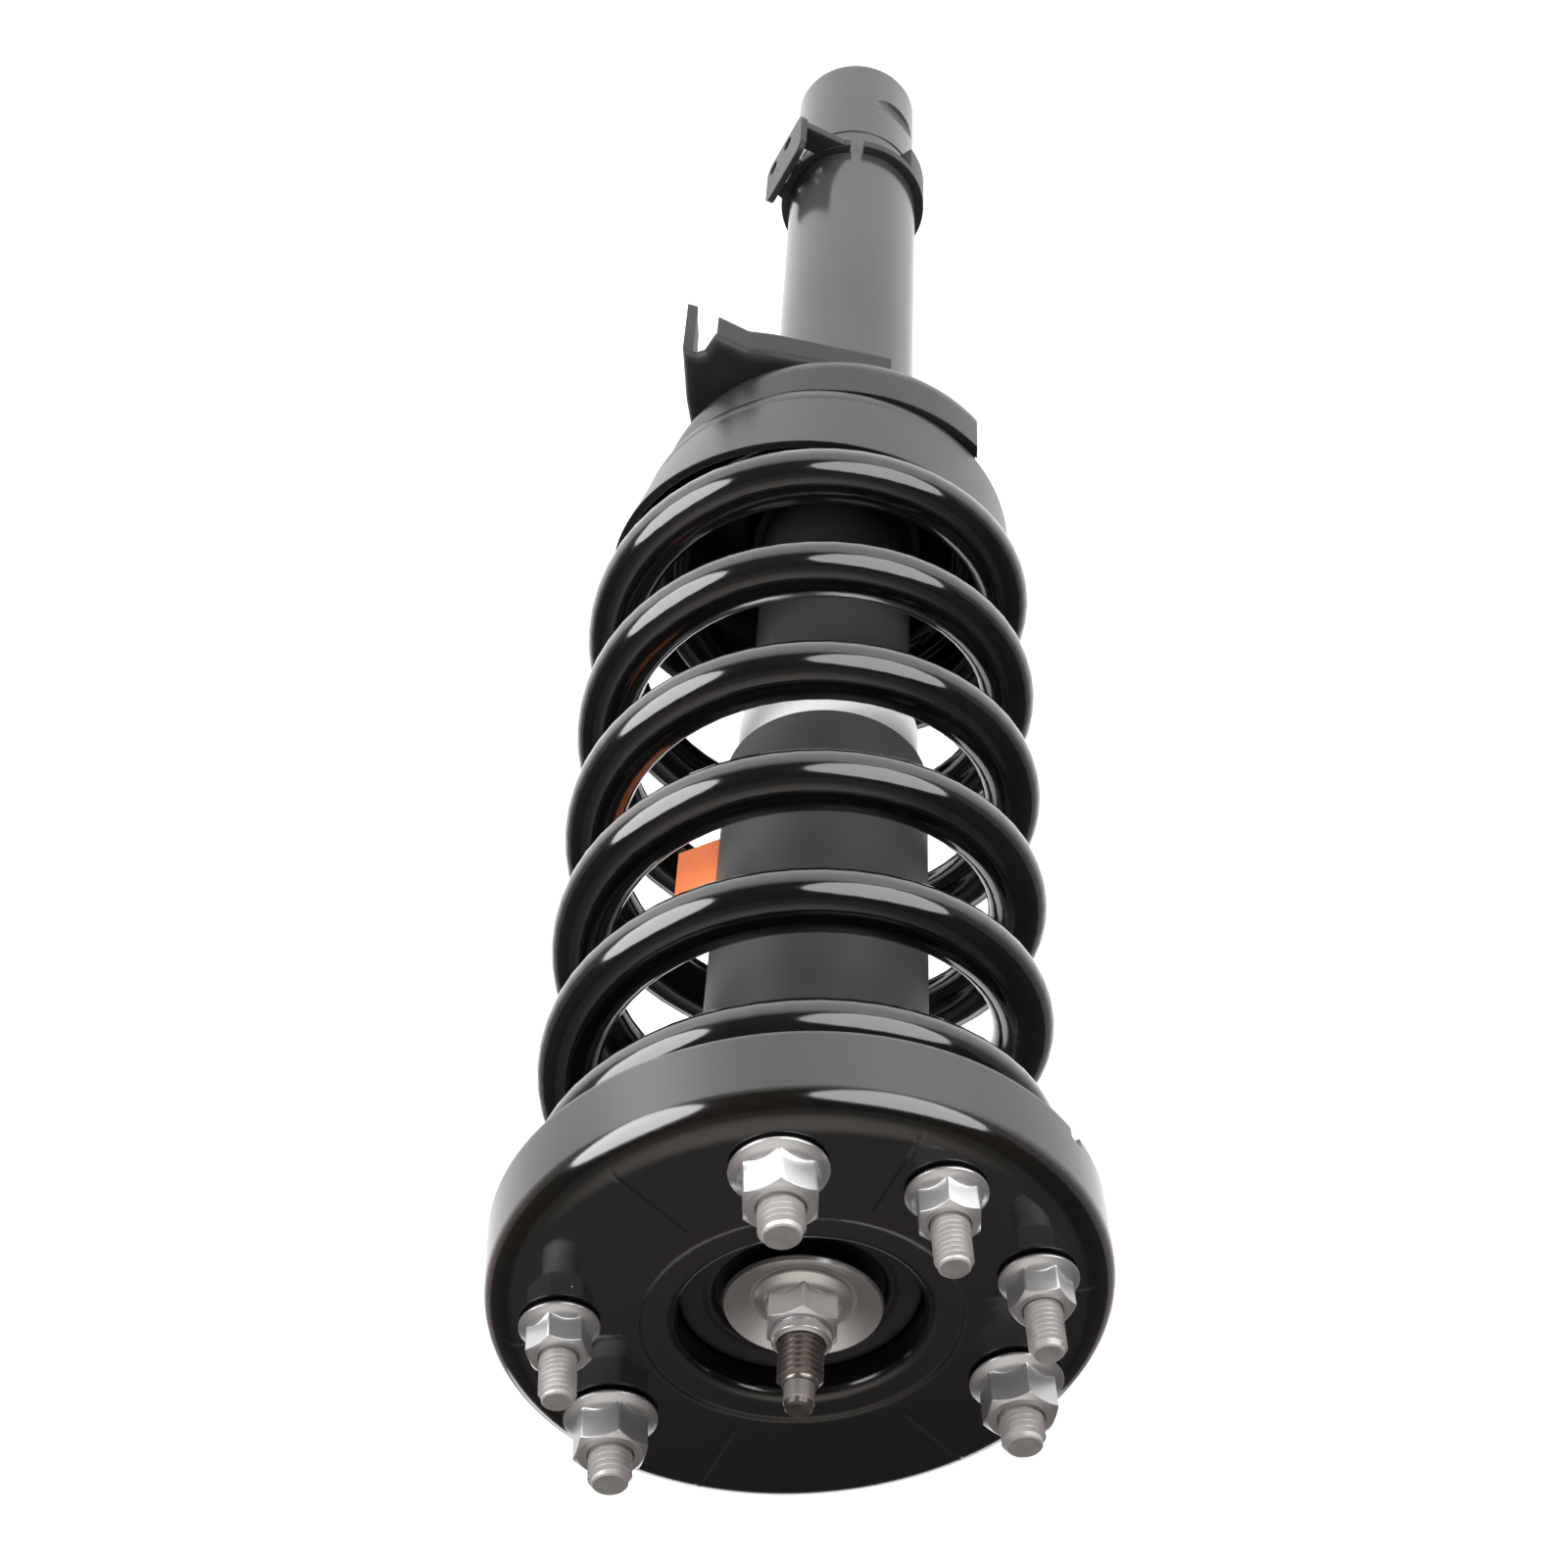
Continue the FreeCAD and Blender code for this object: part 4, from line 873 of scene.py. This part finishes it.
nut_set("large_flange_nuts", flange_nut("nut", 18.0, 12.0, 12.5, 5.95, 0.8),
        LARGE_AT, (-92.0, -106.0, -101.5), "large_nuts")
nut_set("small_flange_nuts", flange_nut("nut", 15.0, 10.0, 10.4, 4.95, 0.8),
        SMALL_AT, (-89.0, -117.0, -77.0), "small_nuts")
locknut = flange_nut("rod_locknut", 18.0, 10.6, 12.9, 6.05, -8.0, collar=4.0)
locknut.data.transform(Matrix.Rotation(math.radians(-92.0 - 90.0), 4, "Z"))
hand_over(locknut, bright_zinc, "zinc", "rod", "rod_nut", smooth=32.0)

# %% [markdown]
# ## The piston rod
#
# The rod is ground and chromed where it runs in its guide. Above its shoulder
# it steps down to a thread for the nut and ends in a short pin that a key can
# hold. It is one turned bar, with three finishes chosen by height.

# %% Piston rod
SHOULDER, THREAD_TOP, PIN_TOP = -42.0, 18.8, 25.7
rod_low, piston_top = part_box("piston_rod")[0].z / MM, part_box("piston")[1].z / MM
rod = threaded_bar(
    "turned_rod",
    [(5.5, rod_low), (6.0, rod_low + 0.5), (6.0, piston_top), (9.0, piston_top),
     (9.0, SHOULDER - 0.5), (8.5, SHOULDER), (6.0, SHOULDER), (6.0, 0.0), (4.95, 0.0),
     (4.95, THREAD_TOP - 0.8), (4.45, THREAD_TOP), (4.0, THREAD_TOP), (4.0, PIN_TOP - 2.2),
     (3.75, PIN_TOP - 2.0), (3.65, PIN_TOP - 0.6), (3.1, PIN_TOP), (1.2, PIN_TOP)],
    6.0, 1.75, 0.0, THREAD_TOP - 0.2, THREAD_TOP - 1.4, 48)
rod.data.materials.clear()
for material in (ground_chrome, browned_steel, turned_pin):
    rod.data.materials.append(material)
for face in rod.data.polygons:
    height = face.center.z / MM
    face.material_index = 0 if height < SHOULDER else 1
    if THREAD_TOP + 0.1 < height < PIN_TOP - 2.1:
        face.material_index = 2
hand_over(rod, None, "rod_chrome", "rod", "piston_rod", smooth=32.0)

# %% [markdown]
# ## Moulded rubber
#
# The bush is bonded between the neck and the rod's sleeve. What shows of it is
# a dished ring with a bead round the washer. It leans with the plate at its
# outside and stands square on the sleeve at its hole.

# %% Bush
SQUARE_TO, LEANS_OVER = 10.2, 8.0

bush = lathe("moulded_bush", [
    (10.1, -28.8), (31.0, -28.8), (31.8, -28.0), (31.8, -9.9), (31.0, -9.3), (29.4, -9.5),
    (27.4, -10.3), (25.6, -10.4), (24.3, -9.6), (23.5, -9.4), (22.8, -10.0), (22.2, -11.6),
    (17.0, -12.9), (10.1, -13.4)])
rounded(bush, 0.4, 2, 25.0)
for vertex in bush.data.vertices:
    reach = math.hypot(vertex.co.x, vertex.co.y) / MM
    share = min(max((reach - SQUARE_TO) / LEANS_OVER, 0.0), 1.0)
    vertex.co = vertex.co.lerp(PLATE_LEAN @ vertex.co, share)
hand_over(bush, rubber, "rubber_black", "mount", "bush_rubber")

# %% [markdown]
# ## The upper pad
#
# The upper pad is a rubber wedge, because the plate leans and the spring's end
# is square. It is a plain ring cut to the room under the plate: a Boolean keeps
# what lies inside that room, and a second one takes out pockets for the heads
# of the studs.

# %% Upper pad
OVER_THE_COIL = (3.48, 1.76)

pad = lathe("moulded_upper_pad", [
    (52.9, -13.5), (74.3, -13.5), (74.3, 9.0), (52.9, 9.0)], 120, OVER_THE_COIL)
under = lathe("room_under_plate", [
    (78.1, -40.0), (78.1, -8.6), (77.3, -5.9), (75.2, -3.9), (72.4, -3.2)], 120, bar=True)
under.data.transform(PLATE_LEAN.to_4x4())
carve(pad, under, "INTERSECT")
for radius, angles in ((LARGE_STUD_R, LARGE_AT), (SMALL_STUD_R, SMALL_AT)):
    for angle in angles:
        head = lathe("head_pocket", [(radius + 3.5, -5.5), (radius + 3.5, 2.0)], 32, bar=True)
        head.data.transform(on_plate(angle))
        carve(pad, head, "DIFFERENCE")
hand_over(pad, rubber, "rubber_black", None, "upper_spring_pad")
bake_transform(pad)

# %% [markdown]
# ## The lower pad, the bump stop and the rod's seal
#
# The lower pad lies in the seat's corner and its inner edge stands up a little
# inside the wire. The bump stop is a foam sleeve with two waists, so it folds
# evenly when the tube's cap meets it. The seal wipes the rod.

# %% Lower pad
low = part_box("lower_spring_pad")[0].z / MM
low_pad = lathe("moulded_lower_pad", [
    (42.6, low), (49.5, low), (52.5, low + 0.55), (55.4, low + 2.0), (55.4, low + 2.9),
    (53.6, low + 2.9), (51.0, low + 2.8), (48.0, low + 2.9), (42.6, low + 2.9)],
    120, (SEAT_SHIFT, 0.0))
rounded(low_pad, 0.3, 2)
hand_over(low_pad, rubber, "rubber_black", "damper", "lower_spring_pad")

# %% Bump stop
STOP_TOP, STOP_LENGTH, STROKE, LEFT_FREE = -44.0, 45.0, 115.0, 0.3

foam_points = (
    (9.3, 0), (20.2, 0), (21.0, 0.9), (21.0, 9.8), (20.2, 11.5), (17.9, 13.2), (17.5, 14.0),
    (17.9, 14.8), (19.4, 16.4), (20.0, 17.4), (19.6, 24.8), (18.4, 26.2), (16.4, 27.7),
    (16.0, 28.4), (16.3, 29.2), (17.2, 30.8), (17.4, 31.6), (15.2, 41.6), (14.6, 43.4),
    (13.2, STOP_LENGTH), (11.3, STOP_LENGTH), (9.3, 43.0))
bumper = lathe("moulded_bump_stop", [(r, STOP_TOP - down) for r, down in foam_points], 72)
hand_over(bumper, foam, "foam_grey", "rod", "bump_stop", smooth=60.0)
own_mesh(bumper)

# %% Rod seal
low, high = (corner.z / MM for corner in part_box("rod_seal"))
seal = lathe("moulded_rod_seal", [
    (9.1, low + 0.8), (11.0, low), (23.3, low), (23.3, high), (12.5, high), (10.8, high - 1.6),
    (9.1, high - 0.6)], 72)
rounded(seal, 0.3, 2)
hand_over(seal, rubber, "rubber_black", "damper", "rod_seal")

# %% [markdown]
# ## Sizes
#
# The bounds of the frame and of the dressed strut are compared, and the
# largest shift of any of their sides is printed. Dressing must not make the
# strut any larger.

# %% Sizes and finish
final_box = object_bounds()
shifts = [abs(a - b) / MM for p, q in zip(cad_box, final_box) for a, b in zip(p, q)]
print("moved by %.2f mm at most" % max(shifts))
